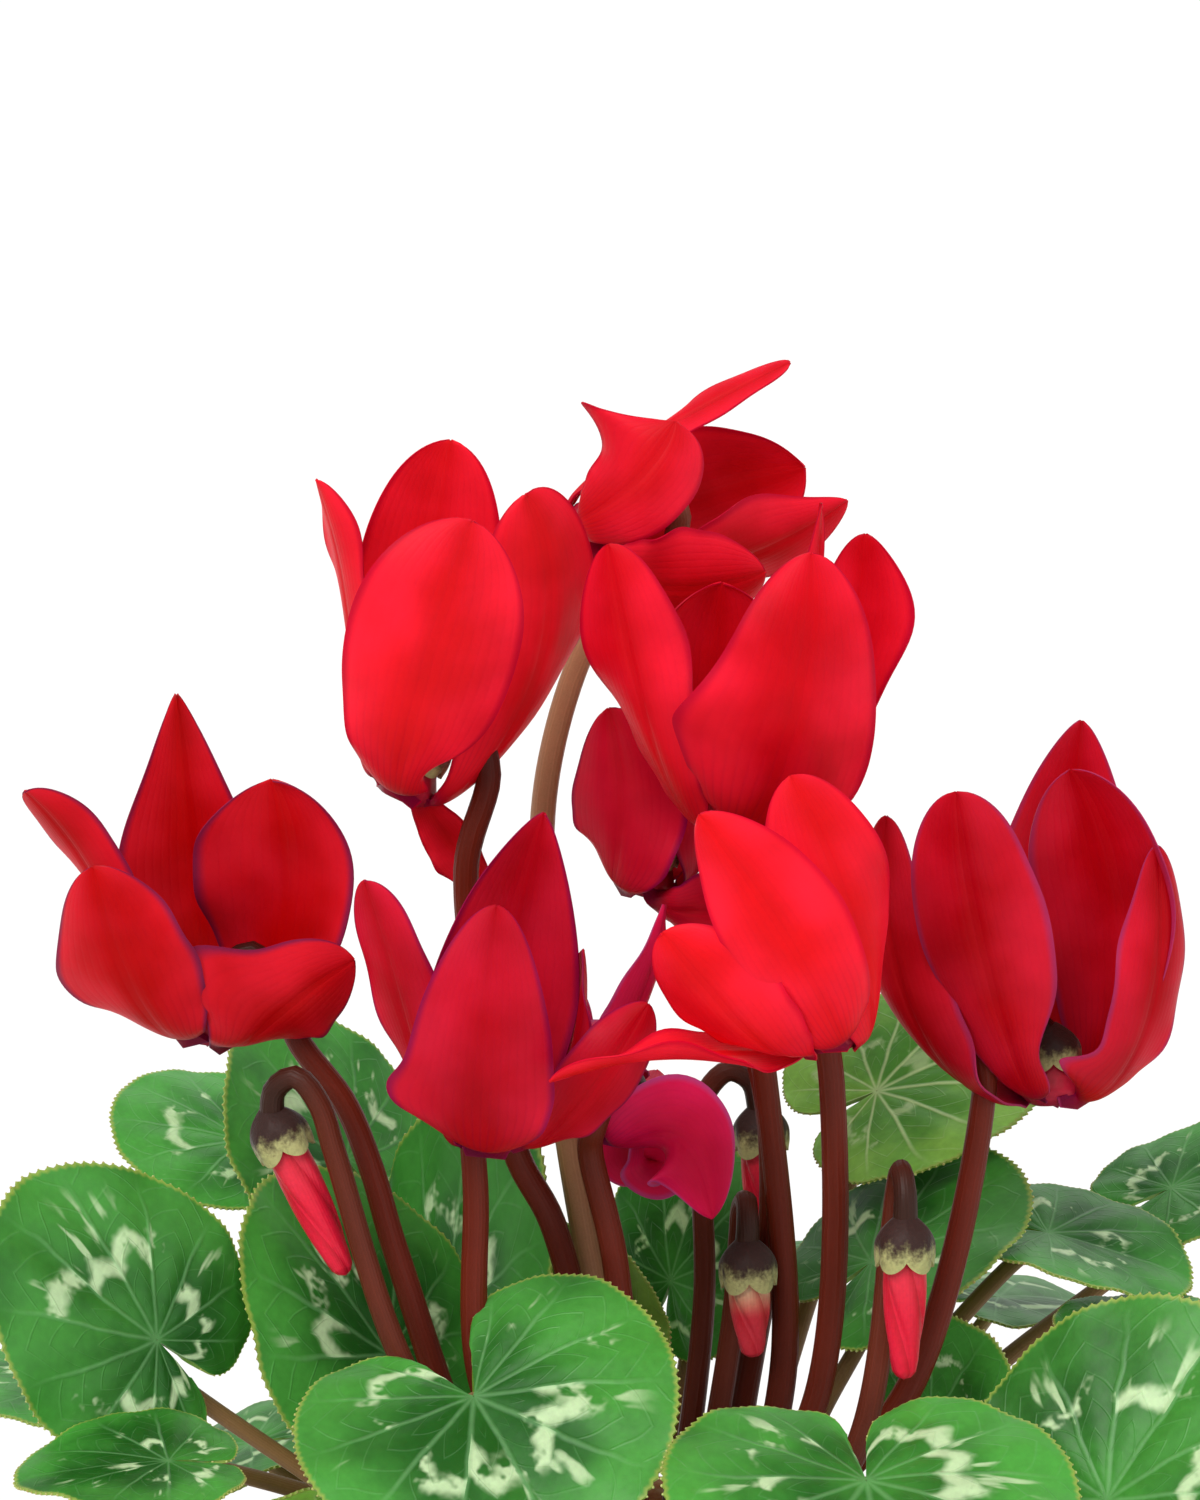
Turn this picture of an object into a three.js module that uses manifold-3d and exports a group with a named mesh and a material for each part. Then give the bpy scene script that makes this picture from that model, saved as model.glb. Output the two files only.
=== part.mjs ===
// Potted cyclamen: a plant with marbled heart-shaped leaves, reflexed red blooms and nodding
// buds, growing from a round tuber set in the soil of a plain clay pot.
// Millimetres, +Z up. The origin is the centre of the pot's foot, -Y is the front of the plant.
import * as THREE from "three";
import { mergeVertices } from "three/addons/utils/BufferGeometryUtils.js";
import Module from "manifold-3d";

const wasm = await Module();
wasm.setup();

// ---- Driving dimensions --------------------------------------------------------------------
const CLEARANCE = 0.35; // gap left between two pieces that touch
const SIDES = 24; // facets round the pot, soil and tuber

const POT_HEIGHT = 110;
const POT_MOUTH = 65; // outer radius at the rim
const POT_FOOT = 44; // outer radius at the foot
const POT_WALL = 5;
const POT_FLOOR = 6; // thickness of its floor
const POT_EDGE = 1.5; // bevel of its edges
const RIM_BAND = 26; // height of the thick collar under the rim
const RIM_STEP = 3.5; // how far the collar stands out from the body
const DRAIN_HOLES = 3;
const DRAIN_RADIUS = 4;
const DRAIN_RING = 22; // radius of the circle that the drain holes stand on
const DRAIN_TURN = 0.5; // bearing of the first one, in radians

const SOIL_TOP = 95;
const TUBER_RADIUS = 30;
const TUBER_HALF_HEIGHT = 17;
const TUBER_CENTRE = 90;
const TUBER_SIDES = 14;
const TUBER_BANDS = 6; // from its top to its bottom
const CROWN_X = 4; // the tuber sits a little right of the pot's axis
const ROOT_DEPTH = 7; // how deep a stalk stands in the tuber
const CROWN_RINGS = { leafOuter: 21.5, leafInner: 17, bloom: 12.5, heart: 5 }; // radii of the rings
const ROOT_ROOM = { leafOuter: 4.2, leafInner: 4.2, bloom: 4.8, heart: 5 }; // from root to root

const PETAL_THICKNESS = 0.8;
const LEAF_THICKNESS = 0.9;
const STALK_RADIUS = 2.0; // bloom stalk
const BUD_STALK_RADIUS = 1.8;
const PETIOLE_RADIUS = 1.5;
const STALK_STEPS = 10; // straight stretches that a stalk is made of
const STALK_SIDES = 5;
const PETIOLE_STEPS = 5;
const PETIOLE_SIDES = 4;
const MOUTH_RADIUS = 4.6; // ring on which a bloom's petals fold back
const TUBE_TOP_RADIUS = 3.4; // radius of the corolla tube's upper end
const TUBE_LENGTH = 8; // corolla tube, from the mouth up to the calyx
const TUBE_SIDES = 7;
const CALYX_LENGTH = 5.5;
const CALYX_RADIUS = TUBE_TOP_RADIUS + CLEARANCE + 0.9;
const CALYX_NOTCH = 0.75; // depth of the notches between the sepals, from the top
const BUD_CALYX_LENGTH = CALYX_LENGTH + 1;
const BUD_CALYX_RADIUS = 4.4;
const BUD_START = 2.6; // from the calyx's top down to the bud's own top
const HOOK = 6.5; // radius of the crook at the top of a bloom's stalk
const PETAL_FOOT = 0.26; // width of most petals at the foot, as a share of the full width
const ROUND_WIDEST = 0.72; // where a round petal is widest, as a share of its length
const POINTED_WIDEST = 0.56; // and a pointed one

const lerp = THREE.MathUtils.lerp;

// ---- The plant as it stands ----------------------------------------------------------------
// nose: lowest point of the bloom. mouth: the way its mouth looks. stalk: where the stalk passes
// below the crook.
// Each petal: tip and belly from the nose, the way its outer face looks at the tip, its width, how
// pointed the tip is from 0 to 1, and for some a corner that one edge makes (side, place along the
// petal, size), the width at the foot (share of the full width) and where the petal is widest.
const petal = (tip, belly, face, width, point, form = {}) => ({
  tip,
  belly,
  face,
  width,
  point,
  corner: [0, 0, 0],
  foot: PETAL_FOOT,
  widest: lerp(ROUND_WIDEST, POINTED_WIDEST, point),
  ...form,
});
const BLOOMS = {
  bloom_left: {
    nose: [-69, -12, 212],
    mouth: [-0.15, -0.15, -1],
    stalk: [[-54.5, -14, 213], [-47, -16, 203], [-42.8, -17, 192.4], [-39, -18, 179], [-22, -17, 130]],
    petals: [
      petal([-16, -14, 32], [-12, -19, 11], [-0.3, -1, 0.1], 23, 0.25, { corner: [-1, 0.64, 0.3] }),
      petal([-5, 12, 54], [-4, 19, 26], [-0.1, 1, 0], 23, 0.85, { corner: [1, 0.74, 0.15] }),
      petal([11, -1, 43], [17, 4, 20], [0.3, 0.95, 0], 28, 0.05, { corner: [1, 0.86, 0.12] }),
      petal([24, -8, 15.5], [10, -15, 9], [0.1, -1, -0.1], 19, 0.2, { corner: [-1, 0.38, 0.9], foot: 0.36 }),
      petal([-28, 0, 41], [-14, 4, 27], [-0.35, -0.8, -0.45], 13, 0),
    ],
  },
  bloom_upper_left: {
    nose: [-38, -12, 252],
    mouth: [-0.42, -0.1, -0.9],
    stalk: [[-27.6, -12.5, 240], [-20, -9, 193], [-14, -10, 181], [-5, -6, 140]],
    ring: "heart",
    petals: [
      petal([-12.5, 0, 50.5], [-5, 2, 28], [-0.92, -0.42, 0], 13, 0),
      petal([12, -12, 46], [3, -22, 20], [0.1, -1, 0.1], 27, 0.05, { corner: [1, 0.3, -0.62] }),
      petal([8, 12, 55], [4, 18, 28], [0, 1, 0], 22, 0.05),
      petal([20, 1, 48], [33, 9, 20], [0.6, -0.75, 0], 24, 0, { foot: 0.15 }),
      petal([13, 8, -17], [8, 6, -8], [0.1, 0.95, 0.2], 8, 0.2, { foot: 0.5 }),
    ],
  },
  bloom_front: {
    nose: [-23, -35, 201],
    mouth: [0.05, -0.15, -1],
    stalk: [[-26, -26, 192], [-25, -27, 160]],
    petals: [
      petal([1, -12, 42], [-3, -20, 14], [0, -1, 0.1], 23, 0.2, {
        corner: [-1, 0.46, 0.35],
        foot: 0.3,
        widest: 0.52,
      }),
      petal([8, 7, 52], [1, 16, 26], [0, 1, 0], 24, 0.7),
      petal([-19.5, 0, 43], [-13, -2, 20], [-0.5, -0.85, 0], 13, 0, { corner: [-1, 0.42, 0.6] }),
      petal([24, -2, 24], [15, -5, 9], [0.3, -0.8, 0.5], 13, 0.3),
      petal([14, 8, 30], [16, 6, 12], [0.9, 0.3, 0], 14, 0.3),
    ],
  },
  bloom_middle: {
    nose: [-5, -8, 197],
    mouth: [-0.15, 0.45, -0.88],
    stalk: [[-8, -20, 197], [-4, -20, 178]],
    petals: [
      petal([9, 6, 35], [6, 4, 14], [0.75, -0.65, 0], 13, 0.9),
      petal([16.5, -10, -12.5], [13.5, -12, 13], [0.2, -0.95, 0.3], 18.5, 0.45, { foot: 0.45 }),
      petal([-8, 8, 24], [-10, 8, 8], [-0.6, 0.7, 0], 15, 0.3),
      petal([6, 6, -9], [4, 10, -8], [0, 0.9, 0.3], 16, 0.2),
      petal([8, 32, 0], [6, 18, -2], [0.3, 0.3, 0.9], 18, 0.3),
    ],
  },
  bloom_right_of_middle: {
    nose: [29, -38, 218],
    mouth: [0.15, -0.2, -0.97],
    stalk: [[30, -26, 208], [29, -20, 158]],
    petals: [
      petal([-20.5, -13, 40], [-4, -20, 20], [-0.2, -1, 0], 20, 0.35),
      petal([-6.5, 0, 43], [6, -8, 20], [0.3, -0.95, 0], 20, 0.1),
      petal([-26, -10, 21], [-13, -14, 5], [-0.2, -0.95, -0.3], 19, 0.1),
      petal([-43, -14, -1], [-24, -12, 5], [0, -0.5, -0.8], 13, 0.4),
      petal([1, 10, 38], [1, 14, 18], [0.2, 1, 0], 17, 0.3),
    ],
  },
  bloom_high: {
    nose: [15, -12, 246],
    mouth: [-0.05, -0.15, -1],
    stalk: [[17, -3, 236], [24, 0, 156]],
    petals: [
      petal([11, -12, 47], [11, -22, 18], [0.1, -1, 0.1], 29, 0.2, {
        corner: [-1, 0.6, 0.2],
        foot: 0.3,
        widest: 0.56,
      }),
      petal([-20, -4, 47], [-15, -10, 18], [-0.5, -0.85, 0], 17, 0.05, { corner: [-1, 0.86, 0.25] }),
      petal([-2, 13, 38], [-5, 18, 17], [-0.2, 1, 0], 23, 0.1),
      petal([13, -1, 53], [12, 4, 24], [0.8, -0.5, 0], 12, 0.8),
      petal([20.5, 9, 46.5], [20, 12, 17], [0.5, 0.9, 0], 16.5, 0.25, { corner: [-1, 0.9, 0.7] }),
    ],
  },
  bloom_behind: {
    nose: [0, 8, 232],
    mouth: [-0.3, 0, -0.95],
    stalk: [[9, 11, 222], [19, 7, 205], [22, 6, 180], [17, 8, 140]],
    petals: [
      petal([-5, -4, 31], [0, -12, 12], [-0.2, -1, 0], 20, 0.3),
      petal([24, -2, -2], [12, -8, -2], [0.2, -0.8, 0.5], 14, 0.4),
      petal([16, 1, 30], [14, 1, 9], [0.6, -0.7, 0], 15, 0.4),
      petal([7, 15, 50], [3, 16, 23], [-0.2, 0.9, 0], 14, 0.3),
      petal([12, 20, 30], [9, 17, 9], [0.4, 0.9, 0], 18, 0.3),
    ],
  },
  bloom_top: {
    nose: [-9, 14, 289],
    mouth: [-0.75, -0.1, -0.6],
    stalk: [[-5, 16, 278], [-15, 12, 250], [-13, 24, 195]],
    ring: "heart",
    petals: [
      petal([14.5, -8, 20], [11, -13, 9], [0, -1, 0.2], 17, 0, { corner: [-1, 0.86, 0.95] }),
      petal([33, 0, 28.5], [13, 4, 19], [-0.5, -0.45, 0.7], 8, 0.1),
      petal([36, 10, 10], [22, 16, 6], [0.2, 1, 0.3], 24, 0.3),
      petal([42.5, 1, 6], [24, 0, -9], [0.1, -0.85, -0.5], 22, 0.6, {
        corner: [-1, 0.78, 0.25],
        widest: 0.55,
      }),
      petal([29, -8, -4], [14, -12, -10], [0, -0.9, -0.5], 20, 0.2),
    ],
  },
  bloom_right: {
    nose: [66, -12, 202],
    mouth: [0.05, -0.15, -1],
    stalk: [[55, -13, 205], [44, -19, 158]],
    petals: [
      petal([-17, -10, 53], [-14, -13, 25], [-0.3, -0.95, 0], 21, 0.05, {
        corner: [1, 0.36, -0.42],
        foot: 0.14,
      }),
      petal([5, 16, 59], [2, 21, 28], [0, 1, 0], 27, 0.65),
      petal([2, 2, 54], [17, 7, 26], [0.45, 0.85, 0], 25, 0.05),
      petal([15, -4, 43], [20, -9, 11.5], [0.5, -0.85, 0], 14.5, 0.3, { corner: [-1, 0.3, 1.5], foot: 0.42 }),
      petal([-27, 4, 46], [-30, -3, 6], [-0.5, -0.8, -0.3], 18, 0.1, { widest: 0.5 }),
    ],
  },
};

// calyx: where the bud hangs from. tip: the bud's end. crook: the bend of its stalk, upwards and over.
// stalk: where the stalk passes further down.
const BUDS = {
  bud_left: {
    calyx: [-58, -25, 203],
    tip: [-46.5, -27, 178],
    crook: [[-50.4, -28, 206.5], [-54, -26.8, 210.4], [-57.4, -25.6, 208]],
    stalk: [[-48, -29, 199], [-38, -31, 166], [-24, -24, 138]],
    ring: "bloom",
  },
  bud_behind: {
    calyx: [20.3, 16, 191.5],
    tip: [20.8, 16, 170],
    crook: [[11.8, 16, 196.4], [15, 16, 199.2], [18.6, 16, 197.4]],
    stalk: [[10.4, 16, 192], [11, 14, 160]],
    ring: "heart",
  },
  bud_middle: {
    calyx: [17.5, -5, 175],
    tip: [18.5, -6, 157],
    crook: [[16.8, 1, 180], [17.4, -1.4, 182.2], [17.6, -4, 180]],
    stalk: [[16.5, 2, 175], [15.5, 3, 160]],
    ring: "heart",
  },
  bud_right: {
    calyx: [41, -37, 189],
    tip: [41, -39, 165],
    crook: [[40, -30.4, 193], [40.5, -33, 197], [41, -35.8, 194.4]],
    stalk: [[39.4, -29.6, 186], [34, -33, 151]],
    ring: "bloom",
  },
  bud_low: {
    calyx: [-7, -42, 152],
    tip: [-8, -44, 134],
    crook: [[-6.2, -36.4, 155.4], [-6.6, -38.6, 158], [-7, -41, 156]],
    stalk: [[-6, -35, 151], [-3, -26, 126]],
    ring: "bloom",
  },
};

// at: where the petiole meets the blade. tip and face: the way the midrib runs and the way the
// upper face looks. size: petiole to tip. wave, turn: height and place of the slow wave of the edge.
// Some blades are narrower or broader (aspect), more or less folded along the midrib (fold), have
// a deeper notch where the petiole meets them (sinus), or a petiole that passes a place (via).
const leafAt = (at, tip, face, size, form = {}) => ({ at, tip, face, size, wave: 0.05, turn: 0, ...form });
const LEAVES = {
  leaf_far_left: leafAt([-76, -35, 170], [-0.58, -0.4, 0.7], [0.7, -0.68, 0.2], 35, {
    aspect: 0.8,
    via: [-38, -25, 133],
  }),
  leaf_left_back: leafAt([-51, 54, 172], [-0.54, -0.08, 0.84], [0.72, -0.52, 0.43], 30, { turn: 1 }),
  leaf_left_far_back: leafAt([-69, 58, 174], [-0.9, -0.2, 0.3], [0.26, -0.35, 0.9], 24, {
    turn: 2,
    via: [-40, 41, 134],
  }),
  leaf_left: leafAt([-41, -8, 158], [-0.52, -0.08, 0.85], [0.72, -0.57, 0.37], 35, { aspect: 0.88 }),
  leaf_centre: leafAt([-32.5, 21.5, 152], [0.07, 0.22, 0.97], [-0.8, -0.57, 0.16], 41, {
    turn: 1,
    aspect: 0.83,
  }),
  leaf_front: leafAt([-26, -42, 163], [0.45, -0.8, -0.4], [-0.15, -0.45, 0.88], 36, {
    aspect: 1.05,
    fold: 0.25,
    sinus: 0.4,
  }),
  leaf_front_right: leafAt([34, -60, 156], [0.08, -0.94, -0.33], [0.04, -0.33, 0.94], 37, {
    aspect: 1.08,
    fold: 0.2,
    wave: 0.03,
  }),
  leaf_right_front: leafAt([72, -50, 149], [0.51, 0.19, 0.84], [-0.55, -0.68, 0.5], 34, {
    turn: 1,
    fold: 0.2,
    sinus: 0.3,
  }),
  leaf_right_back: leafAt([41, 38, 189], [0.9, 0.1, 0.42], [-0.36, -0.43, 0.83], 30),
  leaf_right_middle: leafAt([39, 12, 167], [0.8, 0.13, 0.6], [-0.55, -0.28, 0.78], 29),
  leaf_right: leafAt([68, 12, 172], [0.98, -0.1, -0.19], [0.18, -0.2, 0.96], 25, {
    aspect: 0.85,
    fold: 0.2,
  }),
  leaf_far_right_high: leafAt([92, 40, 171], [0.92, 0.21, 0.34], [-0.31, -0.3, 0.9], 25, { aspect: 0.85 }),
  leaf_far_right: leafAt([80, -6, 160], [1, 0.06, 0], [0.01, -0.2, 0.98], 24, { aspect: 0.85 }),
  leaf_left_front: leafAt([-53, -70, 146], [-0.15, -0.9, -0.4], [0.06, -0.41, 0.91], 22),
  leaf_left_low: leafAt([-72, -60, 159], [-0.97, -0.2, 0.05], [0.03, -0.14, 0.99], 23, {
    aspect: 0.8,
    fold: 0.18,
  }),
  leaf_left_edge: leafAt([-94, 2, 150], [-1, 0.1, 0.1], [0.1, -0.05, 0.99], 22, { via: [-48, 6, 126] }),
  leaf_behind_middle: leafAt([6, 36, 156], [0.26, 0.1, 0.95], [-0.6, -0.7, 0.3], 25, { aspect: 0.9 }),
  leaf_behind_centre: leafAt([-10, 32, 146], [-0.5, 0.1, 0.8], [0.2, 0.8, 0.3], 24),
  leaf_under_left: leafAt([-52, -8, 132], [-0.4, -0.8, 0.2], [0.3, -0.3, -0.9], 20, {
    via: [-28, -8, 118],
  }),
  leaf_right_low: leafAt([48, -6, 145], [0.3, -0.3, 0.8], [-0.6, -0.7, 0.3], 20),
  leaf_back_right: leafAt([64, 56, 146], [0.7, 0.7, -0.2], [0.3, 0.3, 0.9], 32),
  leaf_back_middle: leafAt([24, 66, 152], [0.2, 0.9, -0.2], [0, 0.4, 0.9], 34),
  leaf_back_left: leafAt([-34, 72, 142], [-0.4, 0.9, -0.2], [-0.1, 0.4, 0.9], 32),
  leaf_low_left: leafAt([-66, 28, 129], [-0.9, 0.3, -0.3], [-0.4, 0.1, 0.9], 30),
  leaf_low_front: leafAt([6, -60, 126], [-0.1, -0.85, -0.5], [0, -0.5, 0.85], 28),
  leaf_low_right: leafAt([72, -18, 130], [0.9, -0.3, -0.3], [0.3, -0.2, 0.9], 30),
};

// ---- Solids --------------------------------------------------------------------------------
const V = (p) => new THREE.Vector3(...p);

// A closed triangle mesh as a solid that can be joined and cut, turned so that it faces out.
// Vertices nearer to each other than the grid become one.
function solidOf(geometry, grid = 1e-4) {
  const bare = new THREE.BufferGeometry().setAttribute("position", geometry.getAttribute("position"));
  if (geometry.index) bare.setIndex(geometry.index);
  const merged = mergeVertices(bare, grid);
  const triVerts = new Uint32Array(merged.index.array);
  const corner = (i) => new THREE.Vector3().fromBufferAttribute(merged.attributes.position, triVerts[i]);
  let volume = 0;
  for (let i = 0; i < triVerts.length; i += 3)
    volume += corner(i).dot(corner(i + 1).cross(corner(i + 2)));
  if (volume < 0)
    for (let i = 0; i < triVerts.length; i += 3)
      [triVerts[i], triVerts[i + 1]] = [triVerts[i + 1], triVerts[i]];
  const vertProperties = new Float32Array(merged.attributes.position.array);
  return new wasm.Manifold(new wasm.Mesh({ numProp: 3, vertProperties, triVerts }));
}

// The largest body of a solid: loose scraps are dropped and sealed hollows are filled.
function mainBody(solid) {
  const bodies = solid.decompose().filter((body) => body.volume() > 0);
  return bodies.reduce((a, b) => (b.volume() > a.volume() ? b : a));
}

function geometryOf(solid) {
  const mesh = solid.getMesh();
  const position = new Float32Array(mesh.numVert * 3);
  for (let i = 0; i < mesh.numVert; i++)
    position.set(mesh.vertProperties.subarray(i * mesh.numProp, i * mesh.numProp + 3), i * 3);
  const geometry = new THREE.BufferGeometry().setAttribute(
    "position",
    new THREE.BufferAttribute(position, 3),
  );
  geometry.setIndex(new THREE.BufferAttribute(new Uint32Array(mesh.triVerts), 1));
  geometry.computeVertexNormals();
  return geometry;
}

// A thin sheet thickened evenly to both sides, with the same triangles on its two faces.
function sheetSolid(points, triangles, thickness) {
  const normals = points.map(() => new THREE.Vector3());
  const edges = new Map();
  for (const [a, b, c] of triangles) {
    const n = points[b].clone().sub(points[a]).cross(points[c].clone().sub(points[a]));
    for (const i of [a, b, c]) normals[i].add(n);
    for (const [i, j] of [[a, b], [b, c], [c, a]]) edges.set(i + "_" + j, [i, j]);
  }
  const count = points.length;
  const position = [];
  for (const side of [0.5, -0.5])
    points.forEach((p, i) =>
      position.push(...p.clone().addScaledVector(normals[i].normalize(), side * thickness).toArray()),
    );
  const index = [];
  for (const [a, b, c] of triangles) index.push(a, b, c, count + a, count + c, count + b);
  for (const [i, j] of edges.values())
    if (!edges.has(j + "_" + i)) index.push(j, i, count + i, j, count + i, count + j);
  const geometry = new THREE.BufferGeometry().setAttribute(
    "position",
    new THREE.Float32BufferAttribute(position, 3),
  );
  return solidOf(geometry.setIndex(index));
}

// The line of a stalk through some points. The stretches of a hooked one grow shorter towards
// its upper end.
const SHORTENING = 1.4;
function stalkPath(points, hooked) {
  const path = new THREE.CatmullRomCurve3(points, false, "centripetal");
  const evenly = path.getUtoTmapping.bind(path);
  if (hooked) path.getUtoTmapping = (u, distance) => evenly(1 - (1 - u) ** SHORTENING, distance);
  return path;
}

// A round stalk through some points.
function stalkSolid(points, radius, sides, steps, hooked = true) {
  const path = stalkPath(points, hooked);
  const ring = [];
  for (let i = 0; i < sides; i++) {
    const a = (2 * Math.PI * i) / sides;
    ring.push(new THREE.Vector2(radius * Math.cos(a), radius * Math.sin(a)));
  }
  return solidOf(
    new THREE.ExtrudeGeometry(new THREE.Shape(ring), { steps, bevelEnabled: false, extrudePath: path }),
  );
}

// Turned about the vertical axis from a profile of [radius, height] pairs that closes on itself
// or starts and ends on the axis.
function turned(profile, sides = SIDES) {
  const points = profile.map(([r, z]) => new THREE.Vector2(r, z));
  return solidOf(new THREE.LatheGeometry(points, sides)).rotate([90, 0, 0]);
}

// ---- Bloom ---------------------------------------------------------------------------------
const PETAL_ROWS = [0, 0.2, 0.44, 0.7, 0.92, 1];
const BROAD_PETAL = 24; // a petal as wide as this or wider is split into three strips, not two
const PETAL_CUP = 0.16; // how far the edges turn in, as a share of the width
const CORNER_SPREAD = 0.13; // how long a corner of an edge is, as a share of the petal

// Width of a petal along its length, as a share of its full width.
function petalWidth(t, { point, foot, widest }) {
  if (t < widest) return foot + (1 - foot) * THREE.MathUtils.smoothstep(t, -0.04, widest);
  const past = (t - widest) / (1 - widest);
  const blunt = Math.sqrt(Math.max(0, 1 - past ** 2.6));
  const sharp = 1 - past ** 1.4;
  return lerp(blunt, sharp, point);
}

// The ways in which a bloom's petals leave its mouth: evenly round it, each near its own belly.
function petalRoots(petals, axis) {
  const [side, other] = crossAxes(axis);
  const bearings = petals.map(({ belly }) => Math.atan2(V(belly).dot(other), V(belly).dot(side)));
  const order = petals.map((_, i) => i).sort((i, j) => bearings[i] - bearings[j]);
  const step = (2 * Math.PI) / petals.length;
  const shift = order.reduce((sum, i, rank) => sum + bearings[i] - rank * step, 0) / petals.length;
  return petals.map((_, i) => {
    const a = shift + order.indexOf(i) * step;
    return side.clone().multiplyScalar(Math.cos(a)).addScaledVector(other, Math.sin(a));
  });
}

// A petal folds back from the ring of the mouth, sweeps past its belly and ends at its tip.
const FOLD_DEPTH = 4.5; // how far it first runs on the way that the mouth looks
const FOLD_REACH = 4; // and how far outwards
function petalSheet(nose, axis, petal, out) {
  const belly = nose.clone().add(V(petal.belly));
  const tip = nose.clone().add(V(petal.tip));
  const start = nose.clone().addScaledVector(out, MOUTH_RADIUS).addScaledVector(axis, -2);
  const fold = start.clone().addScaledVector(axis, FOLD_DEPTH).addScaledVector(out, FOLD_REACH);
  const spine = new THREE.CubicBezierCurve3(start, fold, belly, tip);
  const face = V(petal.face).normalize();
  const [side, place, size] = petal.corner;
  const strips = petal.width < BROAD_PETAL ? 2 : 3;
  const points = [];
  for (const t of PETAL_ROWS) {
    const centre = spine.getPoint(t);
    const along = spine.getTangent(t);
    const turn = THREE.MathUtils.smoothstep(t, 0.1, 0.95);
    const looks = out.clone().lerp(face, turn).addScaledVector(axis, 0.6 * (1 - turn));
    const across = along.clone().cross(looks).normalize();
    const normal = across.clone().cross(along).normalize();
    const half = (petal.width / 2) * petalWidth(t, petal);
    const corner = size * Math.exp(-(((t - place) / CORNER_SPREAD) ** 2));
    if (t === 1) {
      points.push(centre);
      break;
    }
    for (let i = 0; i <= strips; i++) {
      const u = (2 * i) / strips - 1;
      points.push(
        centre
          .clone()
          .addScaledVector(across, u * half * (1 + corner * Math.max(0, side * u)))
          .addScaledVector(normal, -PETAL_CUP * 2 * half * u * u),
      );
    }
  }
  const triangles = [];
  const columns = strips + 1;
  const rows = PETAL_ROWS.length - 1;
  for (let r = 0; r < rows - 1; r++)
    for (let c = 0; c < strips; c++) {
      const a = r * columns + c;
      triangles.push([a, a + 1, a + columns], [a + 1, a + columns + 1, a + columns]);
    }
  for (let c = 0; c < strips; c++) {
    const a = (rows - 1) * columns + c;
    triangles.push([a, a + 1, rows * columns]);
  }
  return sheetSolid(points, triangles, PETAL_THICKNESS);
}

// A closed skin over rings of equally many points, from the point in front of the first ring to
// the point behind the last.
function ringSolid(first, rings, last) {
  const sides = rings[0].length;
  const points = [first, ...rings.flat(), last];
  const end = points.length - 1;
  const index = [];
  for (let i = 0; i < sides; i++) {
    const j = (i + 1) % sides;
    index.push(0, 1 + j, 1 + i);
    for (let a = 1; a + sides < end; a += sides)
      index.push(a + i, a + j, a + sides + i, a + j, a + sides + j, a + sides + i);
    index.push(end - sides + i, end - sides + j, end);
  }
  const position = new THREE.Float32BufferAttribute(points.flatMap((p) => p.toArray()), 3);
  return solidOf(new THREE.BufferGeometry().setAttribute("position", position).setIndex(index));
}

// Two directions at right angles to an axis and to each other.
function crossAxes(axis) {
  const side = new THREE.Vector3(1, 0, 0).cross(axis).normalize();
  return [side, axis.clone().cross(side)];
}

// A ring of points round an axis; radius and advance along the axis may change from point to point.
function ringAt(centre, axis, count, radiusOf, advanceOf, twist = 0) {
  const [side, other] = crossAxes(axis);
  return Array.from({ length: count }, (_, i) => {
    const a = (2 * Math.PI * i) / count + twist;
    return centre
      .clone()
      .addScaledVector(axis, advanceOf(i))
      .addScaledVector(side, radiusOf(i) * Math.cos(a))
      .addScaledVector(other, radiusOf(i) * Math.sin(a));
  });
}

// The short bulging tube that the petals grow from, from under the calyx down to the mouth.
function corollaTube(nose, axis) {
  const outline = [
    [-TUBE_LENGTH, TUBE_TOP_RADIUS - 0.2], [-2.6, MOUTH_RADIUS + 0.4], [0, MOUTH_RADIUS - 1.4],
  ];
  const rings = outline.map(([down, r]) => ringAt(nose, axis, TUBE_SIDES, () => r, () => down));
  return ringSolid(
    nose.clone().addScaledVector(axis, -TUBE_LENGTH - 0.8),
    rings,
    nose.clone().addScaledVector(axis, 0.4),
  );
}

// Five blunt sepals that hang as one small hollow hood over what they hold. A ring has a point on
// the middle of each sepal and one on each notch.
const CALYX_POINTS = 10;
const CALYX_CROWN = 1.1; // how far its middle stands above its shoulder
const CALYX_ROOF = 1.2; // from the top down to the hollow
const SEPAL_FLARE = 0.5; // how far the sepals' ends stand out
const SEPAL_THICKNESS = 0.85;
function calyxSolid(top, axis, radius, length) {
  const lobe = (deep) => (i) => (i % 2 ? CALYX_NOTCH : 1) * deep;
  const wide = (r) => (i) => (i % 2 ? 0.96 : 1) * r;
  const ring = (radiusOf, advanceOf) => ringAt(top, axis, CALYX_POINTS, radiusOf, advanceOf);
  const outer = radius + SEPAL_FLARE;
  return ringSolid(
    top.clone().addScaledVector(axis, -CALYX_CROWN),
    [
      ring(() => 0.8 * radius, () => -0.3),
      ring(wide(outer), lobe(length)),
      ring(wide(outer - SEPAL_THICKNESS), lobe(length - 0.1)),
      ring(() => outer - 1.65 * SEPAL_THICKNESS, () => CALYX_ROOF + 0.2),
    ],
    top.clone().addScaledVector(axis, CALYX_ROOF),
  );
}

// A stalk leaves its hole in the crown steeply, leaning a little towards its next point.
const FOOT_RISE = 8; // how far above the crown it still stands steeply
const FOOT_LEAN = 0.1;
const footOf = (root, next) => V([root.x, root.y, root.z + ROOT_DEPTH + FOOT_RISE]).lerp(next, FOOT_LEAN);

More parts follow.
